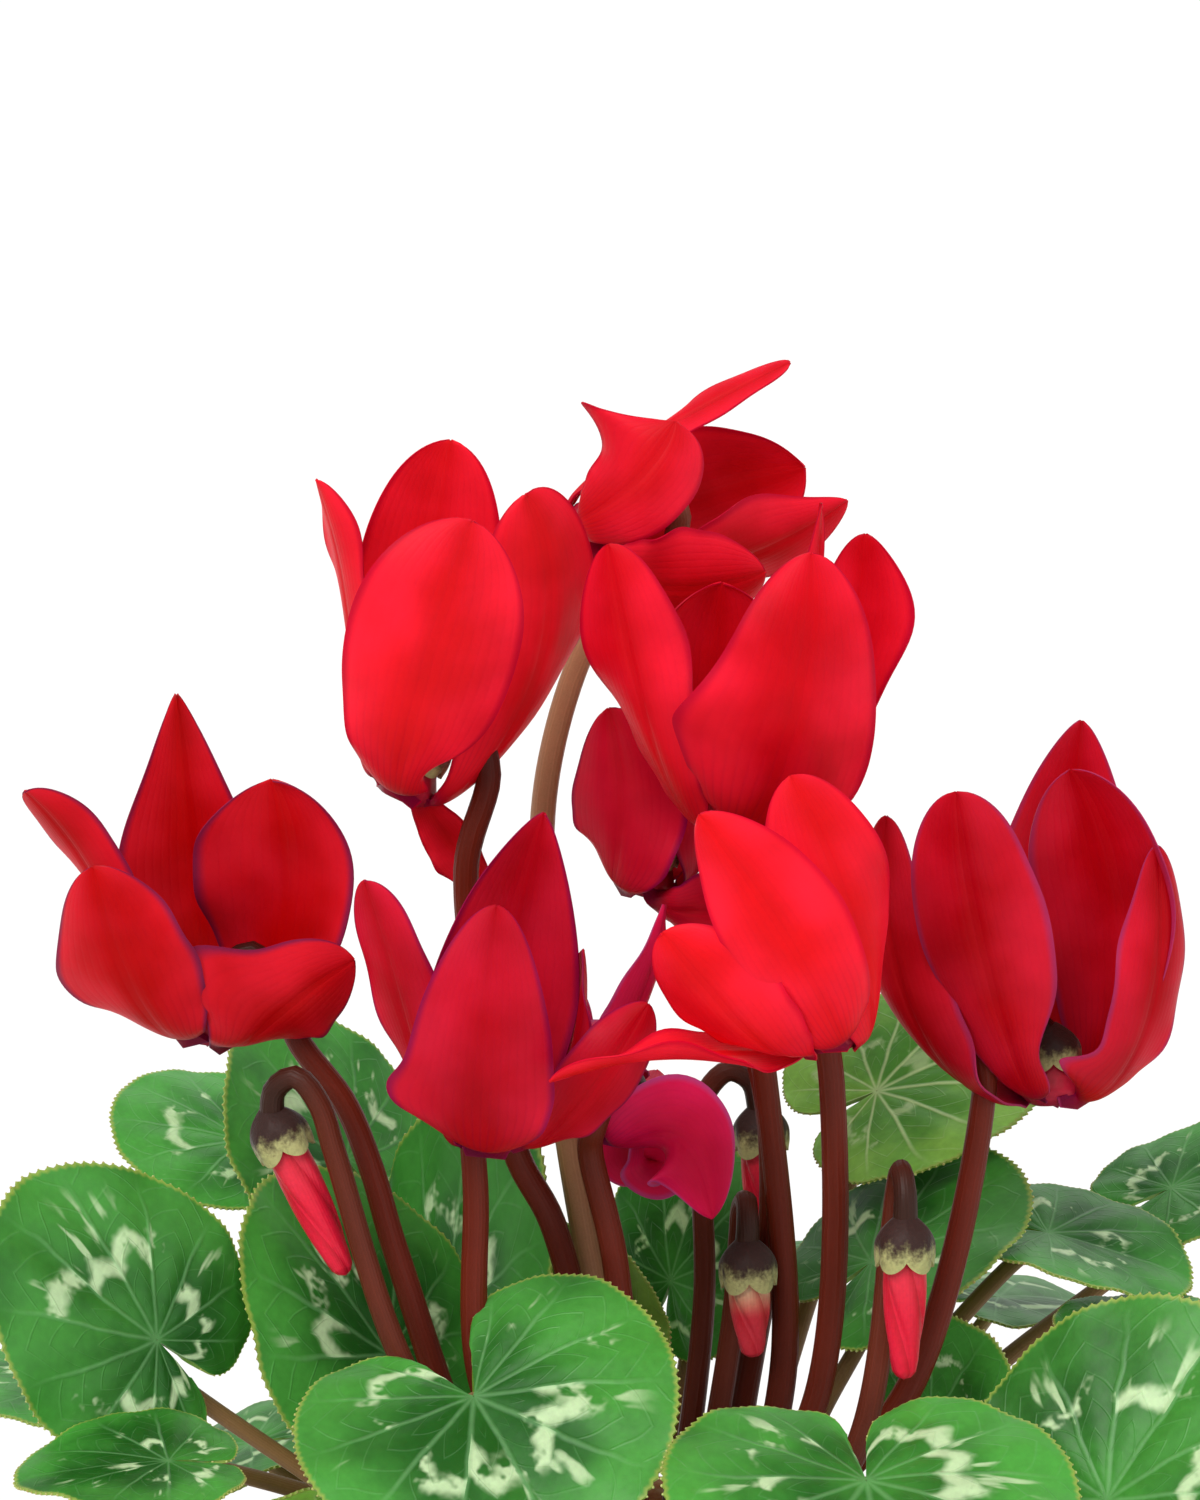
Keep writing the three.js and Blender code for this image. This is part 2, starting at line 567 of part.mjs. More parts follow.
// Points of a bloom's stalk, from its root in the crown up and over the crook to the calyx.
const CALYX_ABOVE = 2.6; // from the corolla tube's upper end up to the stalk's end
function bloomStalkPoints(root, bloom, axis) {
  const top = V(bloom.nose).addScaledVector(axis, -(TUBE_LENGTH + CALYX_ABOVE));
  const passes = bloom.stalk.map(V);
  const away = passes[0].clone().sub(top);
  away.addScaledVector(axis, -away.dot(axis)).normalize();
  const crook = top.clone().addScaledVector(axis, -4.5).addScaledVector(away, HOOK * 0.8);
  const bend = top.clone().addScaledVector(away, HOOK * 1.7).addScaledVector(axis, 1);
  return [root, footOf(root, passes.at(-1)), ...passes.reverse(), bend, crook, top];
}

function stalkWithCalyx(points, axis, radius, calyxRadius, calyxLength) {
  const stalk = stalkSolid(points, radius, STALK_SIDES, STALK_STEPS);
  return mainBody(stalk.add(calyxSolid(points.at(-1), axis, calyxRadius, calyxLength)));
}

// ---- Bud -----------------------------------------------------------------------------------
// A furled bud: twisted folds that narrow to a blunt end, as [place along the bud, radius].
const BUD_OUTLINE = [[0, 2.3], [0.2, 3.4], [0.5, 3.2], [0.84, 2.35], [0.97, 1.4]];
const BUD_POINTS = 10; // a crest and a crease for each of five folds
const BUD_TWIST = 1.6;
const BUD_CREST = 1.06; // share of the radius on a crest
const BUD_CREASE = 0.86;
function furledBud(start, end) {
  const length = start.distanceTo(end);
  const axis = end.clone().sub(start).normalize();
  const fold = (i) => (i % 2 ? BUD_CREASE : BUD_CREST);
  const rings = BUD_OUTLINE.map(([t, r]) =>
    ringAt(start, axis, BUD_POINTS, (i) => r * fold(i), () => t * length, BUD_TWIST * t),
  );
  return ringSolid(start.clone().addScaledVector(axis, -0.4), rings, end);
}

function budStalkPoints(root, bud) {
  const passes = bud.stalk.map(V);
  return [root, footOf(root, passes.at(-1)), ...passes.reverse(), ...bud.crook.map(V), V(bud.calyx)];
}

// ---- Leaf ----------------------------------------------------------------------------------
const LEAF_EDGE = 20; // points round the edge, alternately tooth and notch
const SINUS = 0.14; // half the angle of the cleft at the petiole, in radians
const LEAF_FOLD = 0.1; // how far the halves of a blade rise to both sides of the midrib
const LEAF_DROOP = 0.12; // how far its edge turns down
const LOBE_END = 0.3; // how far the cleft's straight sides run, as a share of the leaf
const INNER_RING = 0.56; // place of the blade's inner ring of points, as a share of the leaf
const TOOTH = 1.02;
const NOTCH = 0.965;

// Outline of the blade: distance from the petiole to the edge, angle 0 at the tip.
function leafReach(angle, sinus) {
  const share = Math.abs(angle) / (Math.PI - sinus);
  const heart = 0.78 + 0.2 * Math.cos(angle) + 0.02 * Math.cos(3 * angle);
  const lobe = Math.sqrt(Math.max(0, 1 - share ** 9));
  return LOBE_END + (heart - LOBE_END) * lobe;
}

function leafSheet(leaf) {
  const tip = V(leaf.tip).normalize();
  const face = V(leaf.face);
  face.addScaledVector(tip, -face.dot(tip)).normalize();
  const side = face.clone().cross(tip);
  const at = V(leaf.at);
  const { aspect = 1, fold = LEAF_FOLD, sinus = SINUS } = leaf;
  const place = (angle, share, tooth) => {
    const reach = leafReach(angle, sinus) * share * tooth;
    const x = reach * Math.cos(angle);
    const y = aspect * reach * Math.sin(angle);
    const height =
      fold * Math.abs(y) -
      LEAF_DROOP * reach * reach +
      leaf.wave * reach * reach * Math.sin(3 * angle + leaf.turn);
    return at
      .clone()
      .addScaledVector(tip, x * leaf.size)
      .addScaledVector(side, y * leaf.size)
      .addScaledVector(face, height * leaf.size);
  };
  const points = [at.clone()];
  const middle = LEAF_EDGE / 2;
  const angleOf = (i, count) => (Math.PI - sinus) * ((2 * i) / count - 1);
  for (let i = 0; i <= middle; i++) points.push(place(angleOf(i, middle), INNER_RING, 1));
  for (let i = 0; i <= LEAF_EDGE; i++)
    points.push(place(angleOf(i, LEAF_EDGE), 1, i % 2 ? TOOTH : NOTCH));
  const triangles = [];
  const outer = 2 + middle;
  for (let i = 0; i < middle; i++) {
    triangles.push([0, 1 + i, 2 + i]);
    const a = outer + 2 * i;
    triangles.push([1 + i, a, a + 1], [1 + i, a + 1, 2 + i], [2 + i, a + 1, a + 2]);
  }
  return sheetSolid(points, triangles, LEAF_THICKNESS);
}

// Points of a petiole, from its root in the crown up and out to the blade.
const PETIOLE_RISE = 6; // how far above the crown it still stands steeply
const PETIOLE_ARCH = 5; // how far its middle rises above the straight line
const PETIOLE_DROP = 7; // how far below the blade it turns towards it
const PETIOLE_SET = 5; // and how far behind the petiole's end
function petiolePoints(root, leaf) {
  const at = V(leaf.at);
  const face = V(leaf.face).normalize();
  const below = at.clone().addScaledVector(face, -0.6);
  const arrive = below
    .clone()
    .addScaledVector(face, -PETIOLE_DROP)
    .addScaledVector(V(leaf.tip).normalize(), -PETIOLE_SET);
  const foot = V([root.x, root.y, root.z + ROOT_DEPTH + PETIOLE_RISE]);
  const middle = foot.clone().lerp(arrive, 0.5);
  middle.z += PETIOLE_ARCH;
  return [root, foot, leaf.via ? V(leaf.via) : middle, arrive, below];
}

// ---- Pot, soil and tuber -------------------------------------------------------------------
function potSolid() {
  const bodyTop = POT_HEIGHT - RIM_BAND;
  const outerAt = (z) => lerp(POT_FOOT, POT_MOUTH - RIM_STEP, z / POT_HEIGHT);
  const inner = POT_MOUTH - POT_WALL;
  let made = turned([
    [0, POT_FLOOR], [POT_FOOT - POT_WALL, POT_FLOOR], [inner - 1, POT_HEIGHT - POT_EDGE],
    [inner + 1, POT_HEIGHT], [POT_MOUTH - POT_EDGE, POT_HEIGHT], [POT_MOUTH, POT_HEIGHT - POT_EDGE],
    [outerAt(bodyTop) + RIM_STEP, bodyTop + 1], [outerAt(bodyTop), bodyTop], [POT_FOOT, POT_EDGE],
    [POT_FOOT - 1, 0], [0, 0],
  ]);
  for (let i = 0; i < DRAIN_HOLES; i++) {
    const a = (2 * Math.PI * i) / DRAIN_HOLES + DRAIN_TURN;
    const hole = new THREE.CylinderGeometry(DRAIN_RADIUS, DRAIN_RADIUS, 4 * POT_WALL, 12);
    hole.rotateX(Math.PI / 2).translate(DRAIN_RING * Math.cos(a), DRAIN_RING * Math.sin(a), 0);
    made = made.subtract(solidOf(hole));
  }
  return mainBody(made);
}

function soilSolid(tuber) {
  const floor = POT_FLOOR + CLEARANCE;
  const height = POT_HEIGHT - POT_EDGE - POT_FLOOR;
  const innerAt = (z) =>
    lerp(POT_FOOT, POT_MOUTH - 1, (z - POT_FLOOR) / height) - POT_WALL - CLEARANCE;
  const soil = turned([
    [0, SOIL_TOP + 1.5], [POT_MOUTH * 0.5, SOIL_TOP + 1], [innerAt(SOIL_TOP - 2), SOIL_TOP - 2],
    [innerAt(floor), floor], [0, floor],
  ]);
  return mainBody(soil.subtract(tuber));
}

function tuberSolid(grow) {
  const profile = [];
  for (let i = 0; i <= TUBER_BANDS; i++) {
    const a = (Math.PI * i) / TUBER_BANDS;
    profile.push([(TUBER_RADIUS + grow) * Math.sin(a), (TUBER_HALF_HEIGHT + grow) * Math.cos(a)]);
  }
  profile[0][0] = 0;
  profile[TUBER_BANDS][0] = 0;
  return turned(profile, TUBER_SIDES).translate([CROWN_X, 0, TUBER_CENTRE]);
}

// ---- Roots of the stalks on the crown ------------------------------------------------------
// Stalks stand in rings on the crown, each as near to its own side of the plant as its
// neighbours in the ring leave room for.
const SPREADING = 300; // rounds of pushing neighbours apart
function rootsOf(stalks) {
  const roots = new Map();
  for (const [ring, radius] of Object.entries(CROWN_RINGS)) {
    const members = stalks.filter((stalk) => stalk.ring === ring);
    for (const m of members) m.bearing = Math.atan2(m.goal[1], m.goal[0] - CROWN_X);
    members.sort((a, b) => a.bearing - b.bearing);
    const room = 2 * Math.asin(ROOT_ROOM[ring] / 2 / radius);
    for (let round = 0; round < SPREADING; round++)
      members.forEach((m, i) => {
        const next = members[(i + 1) % members.length];
        const gap = next.bearing - m.bearing + (next === members[0] ? 2 * Math.PI : 0);
        if (gap < room) {
          m.bearing -= (room - gap) / 2;
          next.bearing += (room - gap) / 2;
        }
      });
    const dome = TUBER_HALF_HEIGHT * Math.sqrt(1 - (radius / TUBER_RADIUS) ** 2);
    for (const { name, bearing } of members)
      roots.set(
        name,
        V([
          CROWN_X + radius * Math.cos(bearing),
          radius * Math.sin(bearing),
          TUBER_CENTRE + dome - ROOT_DEPTH,
        ]),
      );
  }
  return roots;
}

// ---- The whole plant -----------------------------------------------------------------------
const finish = (color, roughness) => new THREE.MeshStandardMaterial({ color, roughness, metalness: 0 });
const CLAY = finish(0xb4623f, 0.85);
const SOIL = finish(0x33241a, 0.95);
const BARK = finish(0x5a4232, 0.9);
const PETAL = finish(0xd4101c, 0.5);
const BUD_PETAL = finish(0xf23a55, 0.5);
const STALK = finish(0x5e2014, 0.55);
const LEAF = finish(0x2b6d33, 0.5);

const plant = new THREE.Group();
function place(name, solid, material) {
  const cleaned = mainBody(solidOf(geometryOf(solid), 1e-3));
  const mesh = new THREE.Mesh(geometryOf(cleaned), material);
  mesh.name = name;
  plant.add(mesh);
}

const STEEP_LEAF = 2.6; // height over spread from which a leaf grows from the inner ring
const leafNames = Object.keys(LEAVES);
const roots = rootsOf([
  ...Object.entries(BLOOMS).map(([name, b]) => ({ name, goal: b.stalk.at(-1), ring: b.ring ?? "bloom" })),
  ...Object.entries(BUDS).map(([name, b]) => ({ name, goal: b.stalk.at(-1), ring: b.ring })),
  ...leafNames.map((name) => {
    const [x, y, z] = LEAVES[name].at;
    const spread = Math.hypot(x - CROWN_X, y);
    return { name, goal: [x, y], ring: z / spread < STEEP_LEAF ? "leafOuter" : "leafInner" };
  }),
]);

let tuber = tuberSolid(0);
// A plain straight hole in the tuber, along the first stretch of a stalk.
function sink(points, radius, sides, steps, hooked = true) {
  const [from, to] = stalkPath(points, hooked).getSpacedPoints(steps);
  const along = to.clone().sub(from).normalize();
  const [above, below] = [radius + 3 * CLEARANCE, radius + 2 * CLEARANCE];
  const hole = new THREE.CylinderGeometry(above, below, 3 * ROOT_DEPTH, sides);
  hole.applyQuaternion(new THREE.Quaternion().setFromUnitVectors(new THREE.Vector3(0, 1, 0), along));
  const middle = from.addScaledVector(along, 1.5 * ROOT_DEPTH - CLEARANCE);
  tuber = tuber.subtract(solidOf(hole.translate(middle.x, middle.y, middle.z)));
}

for (const [name, bloom] of Object.entries(BLOOMS)) {
  const axis = V(bloom.mouth).normalize();
  const nose = V(bloom.nose);
  const points = bloomStalkPoints(roots.get(name), bloom, axis);
  sink(points, STALK_RADIUS, STALK_SIDES, STALK_STEPS);
  place(name + "_stalk", stalkWithCalyx(points, axis, STALK_RADIUS, CALYX_RADIUS, CALYX_LENGTH), STALK);
  let corolla = corollaTube(nose, axis);
  const petalRoot = petalRoots(bloom.petals, axis);
  bloom.petals.forEach((petal, i) => {
    corolla = corolla.add(petalSheet(nose, axis, petal, petalRoot[i]));
  });
  corolla = corolla.subtract(stalkSolid(points, STALK_RADIUS + CLEARANCE, STALK_SIDES, STALK_STEPS));
  place(name, mainBody(corolla), PETAL);
}

for (const [name, bud] of Object.entries(BUDS)) {
  const start = V(bud.calyx);
  const end = V(bud.tip);
  const axis = end.clone().sub(start).normalize();
  const points = budStalkPoints(roots.get(name), bud);
  sink(points, BUD_STALK_RADIUS, STALK_SIDES, STALK_STEPS);
  place(
    name + "_stalk",
    stalkWithCalyx(points, axis, BUD_STALK_RADIUS, BUD_CALYX_RADIUS, BUD_CALYX_LENGTH),
    STALK,
  );
  place(name, furledBud(start.clone().addScaledVector(axis, BUD_START), end), BUD_PETAL);
}

for (const name of leafNames) {
  const leaf = LEAVES[name];
  const points = petiolePoints(roots.get(name), leaf);
  sink(points, PETIOLE_RADIUS, PETIOLE_SIDES, PETIOLE_STEPS, false);
  const petiole = stalkSolid(points, PETIOLE_RADIUS, PETIOLE_SIDES, PETIOLE_STEPS, false);
  place(name, mainBody(leafSheet(leaf).add(petiole)), LEAF);
}

place("tuber", mainBody(tuber), BARK);
place("soil", soilSolid(tuberSolid(CLEARANCE)), SOIL);
place("pot", potSolid(), CLAY);

export default plant;
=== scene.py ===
# Potted cyclamen, dressed: fine petals, leaves, stalks, buds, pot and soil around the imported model.
import math

import bmesh
import bpy
import numpy as np
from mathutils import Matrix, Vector, noise


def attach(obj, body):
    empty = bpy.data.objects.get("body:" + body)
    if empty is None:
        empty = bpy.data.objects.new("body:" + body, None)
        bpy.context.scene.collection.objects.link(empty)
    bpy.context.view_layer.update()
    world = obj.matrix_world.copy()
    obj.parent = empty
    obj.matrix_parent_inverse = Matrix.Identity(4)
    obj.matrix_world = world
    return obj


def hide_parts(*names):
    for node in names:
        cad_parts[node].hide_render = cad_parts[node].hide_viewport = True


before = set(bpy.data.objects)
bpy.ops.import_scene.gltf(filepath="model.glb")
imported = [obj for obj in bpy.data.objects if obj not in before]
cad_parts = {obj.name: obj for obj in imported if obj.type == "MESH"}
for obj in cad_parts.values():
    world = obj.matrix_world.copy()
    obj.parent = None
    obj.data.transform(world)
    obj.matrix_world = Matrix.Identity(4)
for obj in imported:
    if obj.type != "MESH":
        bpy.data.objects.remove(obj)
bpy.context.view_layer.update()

MM = 0.001
FULL_TURN = 2 * math.pi

# ---- Driving sizes, in millimetres -------------------------------------------------------------
# The pot; its mouth and foot are radii.
POT_HEIGHT = 110
POT_MOUTH = 65
POT_FOOT = 44
POT_WALL = 5
RIM_BAND = 26
RIM_STEP = 3.5
DRAIN_RADIUS = 4
DRAIN_RING = 22
DRAIN_HOLES = 3

# The soil and the tuber, whose crown carries the stalks.
SOIL_TOP = 95
TUBER_RADIUS = 30
TUBER_HALF_HEIGHT = 17
TUBER_CENTRE = 90
CROWN_X = 4
ROOT_DEPTH = 7

# Rings of roots on the crown: the ring's radius, and the room that each stalk needs on it.
CROWN_RINGS = {"leaf_outer": (21.5, 4.2), "leaf_inner": (17, 4.2), "bloom": (12.5, 4.8), "heart": (5, 5)}

# Blooms, buds and their stalks.
PETAL_THICKNESS = 0.8
STALK_RADIUS = 2.0
BUD_STALK_RADIUS = 1.8
MOUTH_RADIUS = 4.6
TUBE_TOP_RADIUS = 3.4
TUBE_LENGTH = 8
CALYX_LENGTH = 5.5
CALYX_NECK = 2.6
CLEARANCE = 0.35
HOOK = 6.5

# Leaves.
LEAF_THICKNESS = 0.9
PETIOLE_RADIUS = 1.5

# Shapes, as shares of a petal's width or of a leaf's length; the sinus is an angle in radians.
PETAL_CUP = 0.16
SINUS = 0.14
LEAF_FOLD = 0.1
LEAF_DROOP = 0.12
LOBE_END = 0.3

# Patterns that the shapes and the finishes share.
SEPALS = 5
BUD_FOLDS = 4
BUD_TWIST = 1.5
VEIN_STEP = 0.5  # angle between two main veins of a leaf, in radians


def mix(a, b, t):
    """From a at 0 to b at 1."""
    return a + (b - a) * t


# ---- The plant as it stands --------------------------------------------------------------------
# These are the values of the part's source, apart from the fourth petal of bloom_left: its upper edge
# stands a little higher here, to hide the crook of the stalk.
def petal(tip, belly, face, width, point=0.2, corner=None, foot=0.26, widest=None):
    """One petal: tip and belly from the bloom's nose, the way its outer face looks, its width, how
    pointed it is, a corner on one edge as (side, place along it, size), the share of the width that
    its foot has, and the share of its length where it is widest."""
    widest = mix(0.72, 0.56, point) if widest is None else widest
    return dict(tip=tip, belly=belly, face=face, width=width, point=point, corner=corner, foot=foot,
                widest=widest)


BLOOMS = {
    "bloom_left": {
        "nose": (-69, -12, 212),
        "mouth": (-0.15, -0.15, -1),
        "stalk": [(-54.5, -14, 213), (-47, -16, 203), (-42.8, -17, 192.4), (-39, -18, 179), (-22, -17, 130)],
        "petals": [
            petal((-16, -14, 32), (-12, -19, 11), (-0.3, -1, 0.1), 23, 0.25, (-1, 0.64, 0.3)),
            petal((-5, 12, 54), (-4, 19, 26), (-0.1, 1, 0), 23, 0.85, (1, 0.74, 0.15)),
            petal((11, -1, 43), (17, 4, 20), (0.3, 0.95, 0), 28, 0.05, (1, 0.86, 0.12)),
            petal((24, -8, 15.5), (10, -16, 9), (0.1, -1, -0.1), 19, 0.2, (-1, 0.56, 0.9), 0.3),
            petal((-28, 0, 41), (-14, 4, 27), (-0.35, -0.8, -0.45), 13, 0),
        ],
    },
    "bloom_upper_left": {
        "nose": (-38, -12, 252),
        "mouth": (-0.42, -0.1, -0.9),
        "stalk": [(-27.6, -12.5, 240), (-20, -9, 193), (-14, -10, 181), (-5, -6, 140)],
        "ring": "heart",
        "petals": [
            petal((-12.5, 0, 50.5), (-5, 2, 28), (-0.92, -0.42, 0), 13, 0),
            petal((12, -12, 46), (3, -22, 20), (0.1, -1, 0.1), 27, 0.05, (1, 0.3, -0.62)),
            petal((8, 12, 55), (4, 18, 28), (0, 1, 0), 22, 0.05),
            petal((20, 1, 48), (33, 9, 20), (0.6, -0.75, 0), 24, 0, None, 0.15),
            petal((13, 8, -17), (8, 6, -8), (0.1, 0.95, 0.2), 8, 0.2, None, 0.5),
        ],
    },
    "bloom_front": {
        "nose": (-23, -35, 201),
        "mouth": (0.05, -0.15, -1),
        "stalk": [(-26, -26, 192), (-25, -27, 160)],
        "petals": [
            petal((1, -12, 42), (-3, -20, 14), (0, -1, 0.1), 23, 0.2, (-1, 0.46, 0.35), 0.3, 0.52),
            petal((8, 7, 52), (1, 16, 26), (0, 1, 0), 24, 0.7),
            petal((-19.5, 0, 43), (-13, -2, 20), (-0.5, -0.85, 0), 13, 0, (-1, 0.42, 0.6)),
            petal((24, -2, 24), (15, -5, 9), (0.3, -0.8, 0.5), 13, 0.3),
            petal((14, 8, 30), (16, 6, 12), (0.9, 0.3, 0), 14, 0.3),
        ],
    },
    "bloom_middle": {
        "nose": (-5, -8, 197),
        "mouth": (-0.15, 0.45, -0.88),
        "stalk": [(-8, -20, 197), (-4, -20, 178)],
        "petals": [
            petal((9, 6, 35), (6, 4, 14), (0.75, -0.65, 0), 13, 0.9),
            petal((16.5, -10, -12.5), (13.5, -12, 13), (0.2, -0.95, 0.3), 18.5, 0.45, None, 0.45),
            petal((-8, 8, 24), (-10, 8, 8), (-0.6, 0.7, 0), 15, 0.3),
            petal((6, 6, -9), (4, 10, -8), (0, 0.9, 0.3), 16, 0.2),
            petal((8, 32, 0), (6, 18, -2), (0.3, 0.3, 0.9), 18, 0.3),
        ],
    },
    "bloom_right_of_middle": {
        "nose": (29, -38, 218),
        "mouth": (0.15, -0.2, -0.97),
        "stalk": [(30, -26, 208), (29, -20, 158)],
        "petals": [
            petal((-20.5, -13, 40), (-4, -20, 20), (-0.2, -1, 0), 20, 0.35),
            petal((-6.5, 0, 43), (6, -8, 20), (0.3, -0.95, 0), 20, 0.1),
            petal((-26, -10, 21), (-13, -14, 5), (-0.2, -0.95, -0.3), 19, 0.1),
            petal((-43, -14, -1), (-24, -12, 5), (0, -0.5, -0.8), 13, 0.4),
            petal((1, 10, 38), (1, 14, 18), (0.2, 1, 0), 17, 0.3),
        ],
    },
    "bloom_high": {
        "nose": (15, -12, 246),
        "mouth": (-0.05, -0.15, -1),
        "stalk": [(17, -3, 236), (24, 0, 156)],
        "petals": [
            petal((11, -12, 47), (11, -22, 18), (0.1, -1, 0.1), 29, 0.2, (-1, 0.6, 0.2), 0.3, 0.56),
            petal((-20, -4, 47), (-15, -10, 18), (-0.5, -0.85, 0), 17, 0.05, (-1, 0.86, 0.25)),
            petal((-2, 13, 38), (-5, 18, 17), (-0.2, 1, 0), 23, 0.1),
            petal((13, -1, 53), (12, 4, 24), (0.8, -0.5, 0), 12, 0.8),
            petal((20.5, 9, 46.5), (20, 12, 17), (0.5, 0.9, 0), 16.5, 0.25, (-1, 0.9, 0.7)),
        ],
    },
    "bloom_behind": {
        "nose": (0, 8, 232),
        "mouth": (-0.3, 0, -0.95),
        "stalk": [(9, 11, 222), (19, 7, 205), (22, 6, 180), (17, 8, 140)],
        "petals": [
            petal((-5, -4, 31), (0, -12, 12), (-0.2, -1, 0), 20, 0.3),
            petal((24, -2, -2), (12, -8, -2), (0.2, -0.8, 0.5), 14, 0.4),
            petal((16, 1, 30), (14, 1, 9), (0.6, -0.7, 0), 15, 0.4),
            petal((7, 15, 50), (3, 16, 23), (-0.2, 0.9, 0), 14, 0.3),
            petal((12, 20, 30), (9, 17, 9), (0.4, 0.9, 0), 18, 0.3),
        ],
    },
    "bloom_top": {
        "nose": (-9, 14, 289),
        "mouth": (-0.75, -0.1, -0.6),
        "stalk": [(-5, 16, 278), (-15, 12, 250), (-13, 24, 195)],
        "ring": "heart",
        "petals": [
            petal((14.5, -8, 20), (11, -13, 9), (0, -1, 0.2), 17, 0, (-1, 0.86, 0.95)),
            petal((33, 0, 28.5), (13, 4, 19), (-0.5, -0.45, 0.7), 8, 0.1),
            petal((36, 10, 10), (22, 16, 6), (0.2, 1, 0.3), 24, 0.3),
            petal((42.5, 1, 6), (24, 0, -9), (0.1, -0.85, -0.5), 22, 0.6, (-1, 0.78, 0.25), 0.26, 0.55),
            petal((29, -8, -4), (14, -12, -10), (0, -0.9, -0.5), 20, 0.2),
        ],
    },
    "bloom_right": {
        "nose": (66, -12, 202),
        "mouth": (0.05, -0.15, -1),
        "stalk": [(55, -13, 205), (44, -19, 158)],
        "petals": [
            petal((-17, -10, 53), (-14, -13, 25), (-0.3, -0.95, 0), 21, 0.05, (1, 0.36, -0.42), 0.14),
            petal((5, 16, 59), (2, 21, 28), (0, 1, 0), 27, 0.65),
            petal((2, 2, 54), (17, 7, 26), (0.45, 0.85, 0), 25, 0.05),
            petal((15, -4, 43), (20, -9, 11.5), (0.5, -0.85, 0), 14.5, 0.3, (-1, 0.3, 1.5), 0.42),
            petal((-27, 4, 46), (-30, -3, 6), (-0.5, -0.8, -0.3), 18, 0.1, None, 0.26, 0.5),
        ],
    },
}

BUDS = {
    "bud_left": {
        "calyx": (-58, -25, 203),
        "tip": (-46.5, -27, 178),
        "crook": [(-50.4, -28, 206.5), (-54, -26.8, 210.4), (-57.4, -25.6, 208)],
        "stalk": [(-48, -29, 199), (-38, -31, 166), (-24, -24, 138)],
        "ring": "bloom",
    },
    "bud_behind": {
        "calyx": (20.3, 16, 191.5),
        "tip": (20.8, 16, 170),
        "crook": [(11.8, 16, 196.4), (15, 16, 199.2), (18.6, 16, 197.4)],
        "stalk": [(10.4, 16, 192), (11, 14, 160)],
        "ring": "heart",
    },
    "bud_middle": {
        "calyx": (17.5, -5, 175),
        "tip": (18.5, -6, 157),
        "crook": [(16.8, 1, 180), (17.4, -1.4, 182.2), (17.6, -4, 180)],
        "stalk": [(16.5, 2, 175), (15.5, 3, 160)],
        "ring": "heart",
    },
    "bud_right": {
        "calyx": (41, -37, 189),
        "tip": (41, -39, 165),
        "crook": [(40, -30.4, 193), (40.5, -33, 197), (41, -35.8, 194.4)],
        "stalk": [(39.4, -29.6, 186), (34, -33, 151)],
        "ring": "bloom",
    },
    "bud_low": {
        "calyx": (-7, -42, 152),
        "tip": (-8, -44, 134),
        "crook": [(-6.2, -36.4, 155.4), (-6.6, -38.6, 158), (-7, -41, 156)],
        "stalk": [(-6, -35, 151), (-3, -26, 126)],
        "ring": "bloom",
    },
}


def leaf_at(at, tip, face, size, turn=0, aspect=1.0, fold=LEAF_FOLD, sinus=SINUS, wave=0.05, via=None):
    """One leaf: where the petiole meets the blade, the ways midrib and upper face look, and its length
    from there to the tip. Then the turn of its waves, a factor on its width, its fold along the
    midrib, half the angle between its lobes, the height of its waves, and a place that its petiole
    passes."""
    return dict(at=at, tip=tip, face=face, size=size, turn=turn, aspect=aspect, fold=fold, sinus=sinus,
                wave=wave, via=via)


